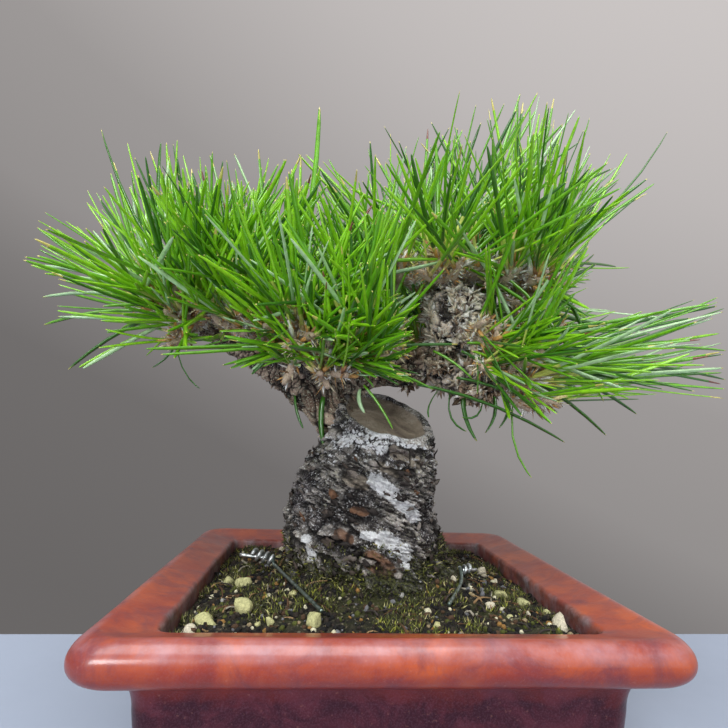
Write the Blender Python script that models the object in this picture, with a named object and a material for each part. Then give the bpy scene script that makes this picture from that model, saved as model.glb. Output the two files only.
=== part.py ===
"""Japanese black pine bonsai in its square red-brown pot, modelled as separate solids.

Metres, +Z up. The origin is on the ground under the middle of the pot. -Y is the front.
"""

import math
import random
from collections import namedtuple

import bmesh
import bpy
from mathutils import Matrix, Vector, noise

MM = 0.001
CLEARANCE = 0.3 * MM

# Pot: a square pot with a broad rolled rim and four corner feet
RIM_HALF = 70 * MM
POT_HEIGHT = 58 * MM
RIM_TOP_WIDTH = 14 * MM
RIM_SLOPE = 2.8 * MM
LIP_DEPTH = 10.4 * MM
LIP_BULGE = 2.2 * MM
LIP_ROLL = 2.6 * MM
LIP_CORNER = 8 * MM
LIP_STEPS = 8
COVE_Z = 38 * MM
COVE_REACH = 5 * MM
COVE_STEPS = 4
BODY_HALF_TOP = 60.5 * MM
BODY_HALF_FOOT = 57 * MM
BODY_CORNER = 6 * MM
BODY_SWELL_Z = 28 * MM
WALL = 5 * MM
INNER_CORNER = 4 * MM
INNER_LIP_DEPTH = 8 * MM
FLOOR_THICKNESS = 4 * MM
FLOOR_HOLLOW = 5 * MM
FOOT_HEIGHT = 5 * MM
FOOT_ARCH_WIDTH = 66 * MM
FOOT_DEPTH = 9 * MM
FOOT_EDGE = 1.0 * MM
DRAIN_RADIUS = 8 * MM
SCREEN_HALF = 13 * MM
SCREEN_THICKNESS = 0.8 * MM
CORNER_POINTS = 4

# Soil: a low mound that is highest at the trunk
SOIL_EDGE_Z = 52.6 * MM
SOIL_MOUND = 4.6 * MM
SOIL_ROUGHNESS = 0.7 * MM
SOIL_CELLS = 10
SOIL_CORNER = 1.5 * MM
SOIL_SIDE_GAP = 0.5 * MM

# Trunk: heights, middles and half widths, measured at the silhouette
TRUNK_STATIONS = (
    (55.2, 1.5, 30.5),
    (63, -1.2, 28.2),
    (70, -3.2, 27.4),
    (80, -3.6, 25.2),
    (88, -1.8, 24.2),
    (95, -0.3, 22.6),
    (101, 1.6, 20.4),
    (108, 3.8, 17.8),
    (124, 4.5, 17.0),
)
TRUNK_DEPTH_SHARE = 0.95
TRUNK_SIDES = 24
TRUNK_RING_STEP = 4.2 * MM
BARK_RELIEF = 1.1 * MM
ROOT_FLARE = 0.13
ROOT_COUNT = 5
CHOP_POINT = Vector((4.5, -5, 108.5)) * MM
CHOP_NORMAL = Vector((0.19, -0.44, 0.88)).normalized()
CHOP_SINK = 1.0 * MM
CHOP_CALLUS = 2.2 * MM

# Boughs: for each, the places it passes and its radius there, in millimetres
BOUGHS = {
    "bough_left": (
        (-8, 5, 102, 8.2),
        (-15.5, 5.5, 111, 7.6),
        (-22, 6, 120, 9.2),
        (-33, 5.5, 127, 7.8),
        (-50, 5, 134.5, 4.8),
        (-66, 5, 142, 3.2),
    ),
    "bough_right": (
        (-17, 7, 121.5, 6.4),
        (-1, 8, 127, 5.6),
        (14, 8, 129, 6.2),
        (22.5, 6.5, 132, 6.6),
        (26.5, 5, 138, 6.8),
    ),
    "bough_apex": (
        (26.5, 5, 138.4, 6.8),
        (28.6, 3.6, 145, 9.6),
        (30.8, 2.2, 152, 11.6),
        (31.4, 1.8, 157.5, 10.4),
        (31.8, 1.6, 161, 7.0),
    ),
    "bough_low": (
        (21, 5, 130.5, 5.6),
        (31, 1.5, 125.6, 6.4),
        (39, -0.6, 124.8, 7.8),
        (47.5, -2, 127.6, 5.0),
    ),
    "bough_back": (
        (-15, 8, 122, 5.6),
        (-12, 19, 130, 5.0),
        (-7, 30, 136, 3.8),
    ),
    "spur_front": (
        (-23, 2, 123, 4.8),
        (-23.5, -5, 129, 4.4),
        (-24, -9.5, 132.5, 3.6),
    ),
    "spur_left": (
        (-42, 6, 131, 3.8),
        (-42, 8, 138, 3.4),
        (-41, 9.5, 143.5, 2.8),
    ),
}
BOUGH_PARENTS = {
    "bough_left": ("trunk",),
    "bough_right": ("bough_left", "trunk"),
    "bough_apex": ("bough_right",),
    "bough_low": ("bough_right", "bough_apex"),
    "bough_back": ("bough_left", "bough_right", "trunk"),
    "spur_front": ("bough_left", "bough_right"),
    "spur_left": ("bough_left",),
}
BOUGH_SIDES = 9
BOUGH_STEP = 4.5 * MM
BOUGH_RELIEF = 0.2
BOUGH_RELIEF_SCALE = 150

# Foliage: for each mass, the bough that it grows on, the length of its needles, how wide they spread,
# the place that its shoots point away from and the foot of each shoot, in millimetres and degrees
Mass = namedtuple("Mass", "bough needle_length spread fan_middle feet")
MASSES = {
    "needles_left_tip": Mass(
        "bough_left",
        51,
        70,
        (-56, 4, 126),
        ((-82, 0, 153), (-73, -9, 147), (-74, 14, 153)),
    ),
    "needles_left_mid": Mass(
        "spur_left",
        53,
        66,
        (-46, 6, 96),
        ((-62, 6, 156), (-47, -6, 150), (-56, 25, 153), (-37, 22, 153), (-36, 3, 154)),
    ),
    "needles_front": Mass(
        "spur_front",
        55,
        80,
        (-22, 14, 114),
        ((-28, -17, 137), (-9, -8, 148), (-10, -21, 132)),
    ),
    "needles_apex": Mass(
        "bough_apex",
        75,
        72,
        (34, 6, 122),
        ((13, -2, 165), (33, -5, 167), (59, 1, 168), (24, 17, 167), (48, 19, 168)),
    ),
    "needles_low": Mass(
        "bough_low",
        64,
        42,
        (16, 1, 115),
        ((51, -14, 124), (63, -5, 134), (62, 12, 132), (56, 3, 123)),
    ),
    "needles_back": Mass(
        "bough_back",
        55,
        68,
        (4, 14, 112),
        ((-20, 37, 143), (-3, 41, 146), (18, 39, 146), (3, 25, 148), (32, 34, 142)),
    ),
}
SHOOT_LENGTH = 13 * MM
SHOOT_RADIUS = 2.9 * MM
TWIG_RADIUS = 1.7 * MM
STEM_LENGTH = 3.6 * MM
STEM_RADIUS = 3.4 * MM
STEM_TAPER = 0.8
TWIG_SINK = 0.8 * MM
TWIG_KNEE = 0.55
TWIG_RISE = 1.2 * MM
NEEDLE_RADIUS = 0.66 * MM
NEEDLE_TIP_RADIUS = 0.5 * MM
NEEDLE_ROOT_OUT = 0.7
NEEDLES_A_SHOOT = 17
NEEDLE_TRIES = 320
NEEDLE_CHECKS = 9
NEEDLE_SIDES = 3
NEEDLE_ANGLE_TOP = math.radians(13)
GOLDEN_ANGLE = math.pi * (3 - math.sqrt(5))
SPACE_MARGIN = 1.5 * MM
LIMB_MARGIN = 1.6 * MM
CROWN_LOW = Vector((-124, -80, 88)) * MM
CROWN_HIGH = Vector((124, 80, 254)) * MM
# Seen from the view place its outline is this, its left part is lower and its front narrows
SEEN_LEFT = -124 * MM
SEEN_RIGHT = 138 * MM
SEEN_TOP = 254 * MM
CROWN_LEFT_TOP = 214 * MM
CROWN_LEFT_END = -12 * MM
CROWN_RISE = 1.35
VIEW_PLACE = Vector((-18.5, -192.5, 103)) * MM

# Tie wires that lie on the soil, from the twist to the tail
WIRE_RADIUS = 0.5 * MM
TWIST_RADIUS = 1.5 * MM
TWIST_LENGTH = 7 * MM
WIRE_LIFT = 1.2 * MM
TIE_WIRES = {
    "tie_wire_left": ((-35.0, -1.0), (-31.5, -12.0), (-22.0, -31.0), (-14.0, -42.0)),
    "tie_wire_right": ((31.5, -9.0), (27.5, -20.0), (20.0, -36.0)),
}


def clear_scene():
    """Removes the startup objects."""
    for obj in list(bpy.data.objects):
        bpy.data.objects.remove(obj)


def new_collection(name):
    """A collection of its own in the scene."""
    collection = bpy.data.collections.new(name)
    bpy.context.scene.collection.children.link(collection)
    return collection


def material(name, colour, roughness, metallic=0.0):
    """A plain Principled material."""
    mat = bpy.data.materials.new(name)
    mat.use_nodes = True
    shader = mat.node_tree.nodes["Principled BSDF"]
    shader.inputs["Base Color"].default_value = (*colour, 1)
    shader.inputs["Roughness"].default_value = roughness
    shader.inputs["Metallic"].default_value = metallic
    return mat


def object_from(bm, name, mat, collection):
    """A linked object that holds the bmesh, with its faces pointing out."""
    bmesh.ops.recalc_face_normals(bm, faces=bm.faces)
    mesh = bpy.data.meshes.new(name)
    bm.to_mesh(mesh)
    bm.free()
    mesh.materials.append(mat)
    obj = bpy.data.objects.new(name, mesh)
    collection.objects.link(obj)
    return obj


def loft(rings):
    """A closed bmesh skin over rings of equal count, with both ends filled."""
    bm = bmesh.new()
    rows = [[bm.verts.new(point) for point in ring] for ring in rings]
    count = len(rows[0])
    for low, high in zip(rows, rows[1:]):
        for i in range(count):
            j = (i + 1) % count
            bm.faces.new((low[i], low[j], high[j], high[i]))
    bm.faces.new(rows[0])
    bm.faces.new(rows[-1])
    return bm


def rounded_square(half, radius, z):
    """Points round a level square with round corners."""
    points = []
    for corner in range(4):
        turn = math.radians(90 * corner)
        for i in range(CORNER_POINTS):
            a = turn + math.radians(90) * i / (CORNER_POINTS - 1)
            middle = Matrix.Rotation(turn, 3, "Z") @ Vector((half - radius, half - radius, z))
            points.append(middle + Vector((math.cos(a), math.sin(a), 0)) * radius)
    return points


def on_curve(p, q, r, s, t):
    """A value on the Catmull-Rom curve from q to r."""
    bend = 2 * p - 5 * q + 4 * r - s
    twist = 3 * q - p - 3 * r + s
    return 0.5 * (2 * q + (r - p) * t + bend * t**2 + twist * t**3)


def smooth_path(places, step):
    """Points and radii along a curve through the places, about a step apart."""
    knots = [places[0]] + list(places) + [places[-1]]
    path = []
    for a, b, c, d in zip(knots, knots[1:], knots[2:], knots[3:]):
        count = max(1, round((Vector(c[:3]) - Vector(b[:3])).length * MM / step))
        for i in range(count):
            t = i / count
            path.append([on_curve(*values, t) for values in zip(a, b, c, d)])
    path.append(list(places[-1]))
    return [(Vector(p[:3]) * MM, p[3] * MM) for p in path]


def solid_from_curve(curve_obj, name, mat, collection):
    """A closed mesh object made from a curve object, which is then removed."""
    graph = bpy.context.evaluated_depsgraph_get()
    mesh = bpy.data.meshes.new_from_object(curve_obj.evaluated_get(graph))
    bm = bmesh.new()
    bm.from_mesh(mesh)
    bmesh.ops.remove_doubles(bm, verts=bm.verts, dist=1e-6)
    bpy.data.meshes.remove(mesh)
    bpy.data.objects.remove(curve_obj)
    return object_from(bm, name, mat, collection)


def tube(name, path, sides, mat, collection):
    """A tapering tube with flat ends along (point, radius) pairs."""
    curve = bpy.data.curves.new(name, "CURVE")
    curve.dimensions = "3D"
    curve.bevel_depth = 1.0
    curve.use_fill_caps = True
    curve.bevel_resolution = (sides - 4) // 2
    spline = curve.splines.new("POLY")
    spline.points.add(len(path) - 1)
    for point, (place, radius) in zip(spline.points, path):
        point.co = (*place, 1)
        point.radius = radius
    obj = bpy.data.objects.new(name, curve)
    collection.objects.link(obj)
    bpy.context.view_layer.update()
    return solid_from_curve(obj, name, mat, collection)


def roughen(obj, relief, tip, way):
    """Moves a limb's points in and out, as old bark does, apart from those at its flat tip."""
    scale = BOUGH_RELIEF_SCALE
    bm = bmesh.new()
    bm.from_mesh(obj.data)
    for vertex in bm.verts:
        if (vertex.co - tip).dot(way) < -0.5 * MM:
            wave = noise.noise(vertex.co * scale) + 0.5 * noise.noise(vertex.co * scale * 2.3)
            vertex.co += vertex.normal * relief * wave
    # Three-cornered faces, so that a swollen copy bends where the limb does
    bmesh.ops.triangulate(bm, faces=bm.faces)
    bm.to_mesh(obj.data)
    bm.free()


def swollen_copy(obj, by, collection):
    """A hidden cutter a little larger all round than the object."""
    cutter = obj.copy()
    cutter.data = obj.data.copy()
    cutter.name = obj.name + "_cutter"
    collection.objects.link(cutter)
    normals = [vertex.normal.copy() for vertex in cutter.data.vertices]
    for vertex, normal in zip(cutter.data.vertices, normals):
        vertex.co += normal * by
    cutter.hide_render = True
    cutter.display_type = "WIRE"
    return cutter


def apply_modifiers(obj):
    """Replaces the object's mesh by the mesh that its modifiers make."""
    bpy.context.view_layer.update()
    graph = bpy.context.evaluated_depsgraph_get()
    mesh = bpy.data.meshes.new_from_object(obj.evaluated_get(graph))
    obj.modifiers.clear()
    obj.data = mesh


def cut(obj, cutter):
    """Cuts a solid away from the object, and keeps the result."""
    boolean = obj.modifiers.new("cut by " + cutter.name, "BOOLEAN")
    boolean.operation = "DIFFERENCE"
    boolean.solver = "MANIFOLD"
    boolean.object = cutter
    apply_modifiers(obj)


def keep_largest(obj):
    """Drops loose scraps that a cut leaves, and keeps the largest body."""
    bm = bmesh.new()
    bm.from_mesh(obj.data)
    left, groups = set(bm.verts), []
    while left:
        group, waiting = set(), [left.pop()]
        while waiting:
            vertex = waiting.pop()
            group.add(vertex)
            for link in vertex.link_edges:
                other = link.other_vert(vertex)
                if other in left:
                    left.discard(other)
                    waiting.append(other)
        groups.append(group)
    largest = max(groups, key=len)
    bmesh.ops.delete(bm, geom=[v for v in bm.verts if v not in largest], context="VERTS")
    bmesh.ops.recalc_face_normals(bm, faces=bm.faces)
    bm.to_mesh(obj.data)
    bm.free()


def box_cutter(name, size, centre, collection):
    """A hidden box that cuts."""
    bpy.ops.mesh.primitive_cube_add(size=1, location=centre)
    box = bpy.context.object
    box.name = name
    box.data.transform(Matrix.Diagonal((*size, 1)))
    for owner in list(box.users_collection):
        owner.objects.unlink(box)
    collection.objects.link(box)
    box.hide_render = True
    box.display_type = "WIRE"
    return box


def pot_rings():
    """The pot's skin from the foot's outside, over the rim and down to the floor inside."""
    lip_low = POT_HEIGHT - LIP_DEPTH
    lip_middle = POT_HEIGHT - LIP_DEPTH / 2
    rings = [
        (BODY_HALF_FOOT - FOOT_EDGE, 0, BODY_CORNER),
        (BODY_HALF_FOOT, FOOT_EDGE, BODY_CORNER),
        (BODY_HALF_TOP - FOOT_EDGE, BODY_SWELL_Z, BODY_CORNER),
        (BODY_HALF_TOP, COVE_Z, BODY_CORNER),
    ]
    # Hollow curve that carries the lip
    for i in range(1, COVE_STEPS + 1):
        a = math.radians(90 * i / COVE_STEPS)
        out = (1 - math.cos(a)) * COVE_REACH
        rings.append((BODY_HALF_TOP + out, COVE_Z + math.sin(a) * (lip_low - COVE_Z), BODY_CORNER))
    # Rolled lip
    for i in range(LIP_STEPS + 1):
        a = math.radians(-90 + 180 * i / LIP_STEPS)
        half = RIM_HALF - LIP_ROLL + math.cos(a) * (LIP_ROLL + LIP_BULGE)
        rings.append((half, lip_middle + math.sin(a) * LIP_DEPTH / 2, LIP_CORNER))
    # Top face that slopes in, and the inside
    inner = RIM_HALF - RIM_TOP_WIDTH
    inner_z = POT_HEIGHT - RIM_SLOPE
    floor_z = FOOT_HEIGHT + FLOOR_THICKNESS
    rings += [
        (inner + RIM_SLOPE / 2, inner_z + RIM_SLOPE / 12, INNER_CORNER + RIM_SLOPE / 2),
        (inner, inner_z - RIM_SLOPE / 2, INNER_CORNER),
        (inner, inner_z - INNER_LIP_DEPTH, INNER_CORNER),
        (BODY_HALF_FOOT - WALL, floor_z + FLOOR_HOLLOW, INNER_CORNER),
        (BODY_HALF_FOOT - WALL - FLOOR_HOLLOW / 2, floor_z, INNER_CORNER),
    ]
    return [rounded_square(half, radius, z) for half, z, radius in rings]


def inner_half(z):
    """Half the width of the pot's inside at a height."""
    low_z = FOOT_HEIGHT + FLOOR_THICKNESS + FLOOR_HOLLOW
    high_z = POT_HEIGHT - RIM_SLOPE - INNER_LIP_DEPTH
    share = min(1, max(0, (z - low_z) / (high_z - low_z)))
    low = BODY_HALF_FOOT - WALL
    return low + (RIM_HALF - RIM_TOP_WIDTH - low) * share


def make_pot(mat, parts, cutters):
    """The pot, with four corner feet left by arches cut through its foot, and a drain hole."""
    pot = object_from(loft(pot_rings()), "pot", mat, parts)
    under = FOOT_HEIGHT + 2 * MM
    inside = 2 * (BODY_HALF_FOOT - FOOT_DEPTH)
    across = 2 * BODY_HALF_FOOT + 10 * MM
    sizes = ((inside, inside), (FOOT_ARCH_WIDTH, across), (across, FOOT_ARCH_WIDTH))
    for i, (x, y) in enumerate(sizes):
        box = box_cutter(f"foot_arch_{i}", (x, y, under), (0, 0, FOOT_HEIGHT - under / 2), cutters)
        cut(pot, box)
    bpy.ops.mesh.primitive_cylinder_add(vertices=24, radius=DRAIN_RADIUS, depth=30 * MM)
    drain = bpy.context.object
    drain.name = "drain_cutter"
    drain.hide_render = True
    cut(pot, drain)
    pot.data.shade_smooth()
    pot.data.set_sharp_from_angle(angle=math.radians(50))
    return pot


def make_screen(mat, parts):
    """The plastic mesh that lies over the drain hole, as a thin plate."""
    bm = bmesh.new()
    bmesh.ops.create_cube(bm, size=1)
    size = (2 * SCREEN_HALF, 2 * SCREEN_HALF, SCREEN_THICKNESS, 1)
    bmesh.ops.transform(bm, matrix=Matrix.Diagonal(size), verts=bm.verts)
    screen = object_from(bm, "drain_screen", mat, parts)
    screen.location.z = FOOT_HEIGHT + FLOOR_THICKNESS + CLEARANCE + SCREEN_THICKNESS / 2
    return screen


def soil_height(x, y):
    """The soil's top at a place in the pot."""
    edge = inner_half(SOIL_EDGE_Z)
    out = min(1, max(abs(x), abs(y)) / edge)
    swell = 0.5 + 0.5 * math.cos(math.pi * out)
    rough = noise.noise(Vector((x, y, 0)) * 90) * SOIL_ROUGHNESS
    return SOIL_EDGE_Z + SOIL_MOUND * swell + rough


def make_soil(mat, parts, trunk_cutter):
    """The root ball: it fills the pot, with a recess where the trunk stands."""
    bm = bmesh.new()
    bmesh.ops.create_grid(bm, x_segments=SOIL_CELLS, y_segments=SOIL_CELLS, size=1)
    half = inner_half(SOIL_EDGE_Z) - CLEARANCE
    bmesh.ops.scale(bm, vec=(half, half, 1), verts=bm.verts)
    for vertex in bm.verts:
        if min(abs(vertex.co.x), abs(vertex.co.y)) > half - CLEARANCE:
            vertex.co.x -= math.copysign(SOIL_CORNER, vertex.co.x)
            vertex.co.y -= math.copysign(SOIL_CORNER, vertex.co.y)
    top = list(bm.verts)
    rim = [edge for edge in bm.edges if edge.is_boundary]
    floor_z = FOOT_HEIGHT + FLOOR_THICKNESS
    bottom_z = floor_z + SCREEN_THICKNESS + 2 * CLEARANCE
    levels = (
        (SOIL_EDGE_Z - INNER_LIP_DEPTH, half - SOIL_SIDE_GAP / 2),
        (floor_z + FLOOR_HOLLOW, BODY_HALF_FOOT - WALL - SOIL_SIDE_GAP),
        (bottom_z, BODY_HALF_FOOT - WALL - FLOOR_HOLLOW / 2 - SOIL_SIDE_GAP),
    )
    width = half
    for z, next_width in levels:
        made = bmesh.ops.extrude_edge_only(bm, edges=rim)["geom"]
        rim = [item for item in made if isinstance(item, bmesh.types.BMEdge)]
        ring = [item for item in made if isinstance(item, bmesh.types.BMVert)]
        bmesh.ops.scale(bm, vec=(next_width / width, next_width / width, 1), verts=ring)
        for vertex in ring:
            vertex.co.z = z
        width = next_width
    bmesh.ops.holes_fill(bm, edges=rim, sides=0)
    for vertex in top:
        vertex.co.z = soil_height(vertex.co.x, vertex.co.y)
    bmesh.ops.triangulate(bm, faces=bm.faces)
    soil = object_from(bm, "soil", mat, parts)
    cut(soil, trunk_cutter)
    keep_largest(soil)
    return soil


def trunk_station(z):
    """The trunk's middle and half width at a height, between its stations."""
    table = [[value * MM for value in row] for row in TRUNK_STATIONS]
    for low, high in zip(table, table[1:]):
        if z <= high[0]:
            t = (z - low[0]) / (high[0] - low[0])
            t = max(0, t)
            return [a + (b - a) * t for a, b in zip(low[1:], high[1:])]
    return table[-1][1:]


def trunk_point(angle, z):
    """A point of the trunk's skin."""
    middle, half = trunk_station(z)
    foot = TRUNK_STATIONS[0][0] * MM
    flare = ROOT_FLARE * math.exp(-(z - foot) / (7 * MM))
    lobes = math.cos(ROOT_COUNT * angle + 0.6) + 0.4 * math.sin(3 * angle)
    way = Vector((math.cos(angle), math.sin(angle) * TRUNK_DEPTH_SHARE, 0))
    spot = way * half + Vector((middle, 0, z))
    plates = noise.noise(Vector((spot.x, spot.y, spot.z * 2.2)) * 75)
    plates += 0.6 * noise.noise(Vector((spot.x, spot.y, spot.z * 1.6)) * 190)
    radius = half * (1 + flare * lobes) + BARK_RELIEF * plates
    return way * radius + Vector((middle, 0, z))


def make_trunk(mat, parts):
    """The stout stump, cut flat at ground level, with the old slanting saw cut at its top."""
    foot = TRUNK_STATIONS[0][0] * MM
    top = TRUNK_STATIONS[-1][0] * MM
    count = round((top - foot) / TRUNK_RING_STEP)
    rings = []
    for i in range(count + 1):
        z = foot + (top - foot) * i / count
        rings.append([trunk_point(2 * math.pi * k / TRUNK_SIDES, z) for k in range(TRUNK_SIDES)])
    bm = loft(rings)
    geometry = bm.verts[:] + bm.edges[:] + bm.faces[:]
    bmesh.ops.bisect_plane(bm, geom=geometry, plane_co=CHOP_POINT, plane_no=CHOP_NORMAL, clear_outer=True)
    rim = [edge for edge in bm.edges if edge.is_boundary]
    scar = bmesh.ops.holes_fill(bm, edges=rim, sides=0)["faces"]
    bmesh.ops.recalc_face_normals(bm, faces=bm.faces)
    bmesh.ops.inset_region(bm, faces=scar, thickness=CHOP_CALLUS, depth=-CHOP_SINK)
    bmesh.ops.remove_doubles(bm, verts=bm.verts, dist=0.05 * MM)
    bmesh.ops.triangulate(bm, faces=bm.faces)
    return object_from(bm, "trunk", mat, parts)


def make_bough(name, mat, parts):
    """One tapering limb with bark relief and a flat tip."""
    places = BOUGHS[name]
    path = smooth_path(places, BOUGH_STEP)
    bough = tube(name, path, BOUGH_SIDES, mat, parts)
    tip, before = path[-1][0], path[-2][0]
    way = (tip - before).normalized()
    thickest = max(radius for _, radius in path)
    roughen(bough, thickest * BOUGH_RELIEF, tip, way)
    return bough


def skeleton(name):
    """The stem, twigs and shoots of a mass, as lists of (point, radius)."""
    mass = MASSES[name]
    last, before = (Vector(place[:3]) * MM for place in (BOUGHS[mass.bough][-1], BOUGHS[mass.bough][-2]))
    way = (last - before).normalized()
    start = last + way * CLEARANCE
    fork = start + way * STEM_LENGTH
    stem_radius = min(BOUGHS[mass.bough][-1][3] * MM * STEM_TAPER, STEM_RADIUS)
    limbs = [[(start, stem_radius), (fork, stem_radius)]]
    shoots = []
    for place in mass.feet:
        foot = Vector(place) * MM
        direction = (foot - Vector(mass.fan_middle) * MM).normalized()
        knee = fork.lerp(foot, TWIG_KNEE) + way * TWIG_RISE
        limbs.append([(fork - way * TWIG_SINK, TWIG_RADIUS), (knee, TWIG_RADIUS), (foot, TWIG_RADIUS)])
        shoots.append((foot, direction))
    return limbs, shoots


def samples_on(path, step=3 * MM):
    """Points along a chain of (point, radius), with the radius at each."""
    found = []
    for (a, ra), (b, rb) in zip(path, path[1:]):
        count = max(1, math.ceil((b - a).length / step))
        found += [(a.lerp(b, i / count), ra + (rb - ra) * i / count) for i in range(count + 1)]
    return found


def crown_anchors():
    """For each mass, points along its stem, twigs and shoots, which claim the space round them."""
    anchors = {}
    for name in MASSES:
        limbs, shoots = skeleton(name)
        points = [p for limb in limbs for p, _ in samples_on(limb, 5 * MM)]
        for foot, direction in shoots:
            points += [foot + direction * SHOOT_LENGTH * share for share in (0, 0.5, 1)]
        anchors[name] = points
    return anchors


def limb_samples():
    """Points and radii along every bough and up the trunk, for needles to keep clear of."""
    found = []
    for places in BOUGHS.values():
        found += samples_on(smooth_path(places, BOUGH_STEP), 2 * MM)
    z = TRUNK_STATIONS[0][0] * MM
    while z < 120 * MM:
        middle, half = trunk_station(z)
        found.append((Vector((middle, 0, z)), half))
        z += 4 * MM
    return found


def in_own_space(point, own, others):
    """True where the point lies on its own mass's side, with a margin, of the planes midway to the others."""
    nearest = min(own, key=lambda anchor: (anchor - point).length_squared)
    own_square = (nearest - point).length_squared
    for other in others:
        gap = (other - nearest).length
        if ((other - point).length_squared - own_square) / (2 * gap) < SPACE_MARGIN:
            return False
    return True


def in_crown(point):
    """True where the point is inside the crown's box and, in front, inside its outline too."""
    if not all(low <= value <= high for low, value, high in zip(CROWN_LOW, point, CROWN_HIGH)):
        return False
    seen = point
    if point.y < 0:
        seen = VIEW_PLACE + (point - VIEW_PLACE) * VIEW_PLACE.y / (VIEW_PLACE.y - point.y)
    top = min(SEEN_TOP, CROWN_LEFT_TOP + max(0, seen.x - CROWN_LEFT_END) * CROWN_RISE)
    return SEEN_LEFT <= seen.x <= SEEN_RIGHT and seen.z <= top


def clear_of_limbs(point, limbs):
    """True where the point is outside every bough and the trunk, with a margin."""
    return all((point - place).length > radius + LIMB_MARGIN for place, radius in limbs)


def needles_of(mass, shoots, own, others, limbs, rng):
    """Root, tip and direction of each needle that stays in its mass's space."""
    kept = []
    spread = math.radians(mass.spread)
    for foot, direction in shoots:
        side = direction.orthogonal().normalized()
        made, tries, turn = 0, 0, rng.uniform(0, 2 * math.pi)
        while made < NEEDLES_A_SHOOT and tries < NEEDLE_TRIES:
            share = (made + 0.5) / NEEDLES_A_SHOOT
            tries += 1
            turn += GOLDEN_ANGLE
            angle = spread + (NEEDLE_ANGLE_TOP - spread) * share**0.8
            angle += rng.gauss(0, math.radians(7))
            round_axis = Matrix.Rotation(turn, 3, direction) @ side
            way = direction * math.cos(angle) + round_axis * math.sin(angle)
            length = mass.needle_length * MM * rng.uniform(0.84, 1.06)
            root = foot + direction * SHOOT_LENGTH * (0.15 + 0.75 * share)
            root += round_axis * SHOOT_RADIUS * NEEDLE_ROOT_OUT
            tip = root + way * length
            points = [root.lerp(tip, s / NEEDLE_CHECKS) for s in range(1, NEEDLE_CHECKS + 1)]
            if all(in_crown(p) and clear_of_limbs(p, limbs) and in_own_space(p, own, others) for p in points):
                kept.append((root, tip, way))
                made += 1
    return kept


def needle(name, root, tip, way, mat, collection):
    """One straight needle: a slim tapering three-sided blade."""
    bm = bmesh.new()
    length = (tip - root).length
    bmesh.ops.create_cone(
        bm,
        cap_ends=True,
        segments=NEEDLE_SIDES,
        radius1=NEEDLE_RADIUS,
        radius2=NEEDLE_TIP_RADIUS,
        depth=length,
        matrix=Matrix.Translation((root + tip) / 2) @ way.to_track_quat("Z", "Y").to_matrix().to_4x4(),
    )
    return object_from(bm, name, mat, collection)


def shoot_body(name, foot, direction, mat, collection):
    """The candle that the needles stand out of."""
    bm = bmesh.new()
    bmesh.ops.create_uvsphere(bm, u_segments=7, v_segments=5, radius=1)
    stretch = Matrix.Diagonal((SHOOT_RADIUS, SHOOT_RADIUS, SHOOT_LENGTH * 0.62, 1))
    turn = direction.to_track_quat("Z", "Y").to_matrix().to_4x4()
    place = Matrix.Translation(foot + direction * SHOOT_LENGTH * 0.5)
    bmesh.ops.transform(bm, matrix=place @ turn @ stretch, verts=bm.verts)
    return object_from(bm, name, mat, collection)


def make_mass(name, anchors, limbs, mat, parts):
    """One mass of needles, joined into a single solid."""
    rng = random.Random(name)
    frame, shoots = skeleton(name)
    others = [p for other, points in anchors.items() if other != name for p in points]
    pieces = new_collection(name + "_pieces")
    stem = tube(name, frame[0], 6, mat, parts)
    for i, limb in enumerate(frame[1:]):
        tube(f"{name}_twig_{i}", limb, 4, mat, pieces)
    for i, (foot, direction) in enumerate(shoots):
        shoot_body(f"{name}_shoot_{i}", foot, direction, mat, pieces)
    kept = needles_of(MASSES[name], shoots, anchors[name], others, limbs, rng)
    for i, (root, tip, way) in enumerate(kept):
        needle(f"{name}_needle_{i}", root, tip, way, mat, pieces)
    union = stem.modifiers.new("join", "BOOLEAN")
    union.operation = "UNION"
    union.operand_type = "COLLECTION"
    union.collection = pieces
    union.solver = "MANIFOLD"
    apply_modifiers(stem)
    for obj in list(pieces.objects):
        bpy.data.objects.remove(obj)
    bpy.data.collections.remove(pieces)
    keep_largest(stem)
    return stem


def make_wire(name, mat, parts):
    """A tie wire that lies on the soil, with a twisted end."""
    route = [(x * MM, y * MM) for x, y in TIE_WIRES[name]]
    places = [Vector((x, y, soil_height(x, y) + WIRE_LIFT + WIRE_RADIUS)) for x, y in route]
    places[0].z += TWIST_RADIUS - WIRE_RADIUS
    reach = (places[1] - places[0]).normalized() * TWIST_LENGTH
    path = [(places[0], TWIST_RADIUS), (places[0] + reach, TWIST_RADIUS)]
    path += [(place, WIRE_RADIUS) for place in [places[0] + reach * 1.2] + places[1:]]
    return tube(name, path, 8, mat, parts)


def main():
    clear_scene()
    parts = new_collection("black_pine_bonsai")
    cutters = new_collection("cutters")
    clay = material("red_clay", (0.33, 0.075, 0.035), 0.42)
    plastic = material("screen_plastic", (0.02, 0.02, 0.02), 0.6)
    earth = material("soil", (0.07, 0.06, 0.035), 0.95)
    bark = material("bark", (0.12, 0.085, 0.06), 0.9)
    foliage = material("needle", (0.07, 0.23, 0.02), 0.4)
    metal = material("wire", (0.35, 0.38, 0.37), 0.45, 0.8)

    make_pot(clay, parts, cutters)
    make_screen(plastic, parts)
    swollen = {"trunk": swollen_copy(make_trunk(bark, parts), CLEARANCE, cutters)}
    make_soil(earth, parts, swollen["trunk"])
    for name in BOUGHS:
        bough = make_bough(name, bark, parts)
        swollen[name] = swollen_copy(bough, CLEARANCE, cutters)
        for parent in BOUGH_PARENTS[name]:
            cut(bough, swollen[parent])
        keep_largest(bough)
    anchors = crown_anchors()
    limbs = limb_samples()
    for name in MASSES:
        make_mass(name, anchors, limbs, foliage, parts)
    for name in TIE_WIRES:
        make_wire(name, metal, parts)


main()
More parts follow.
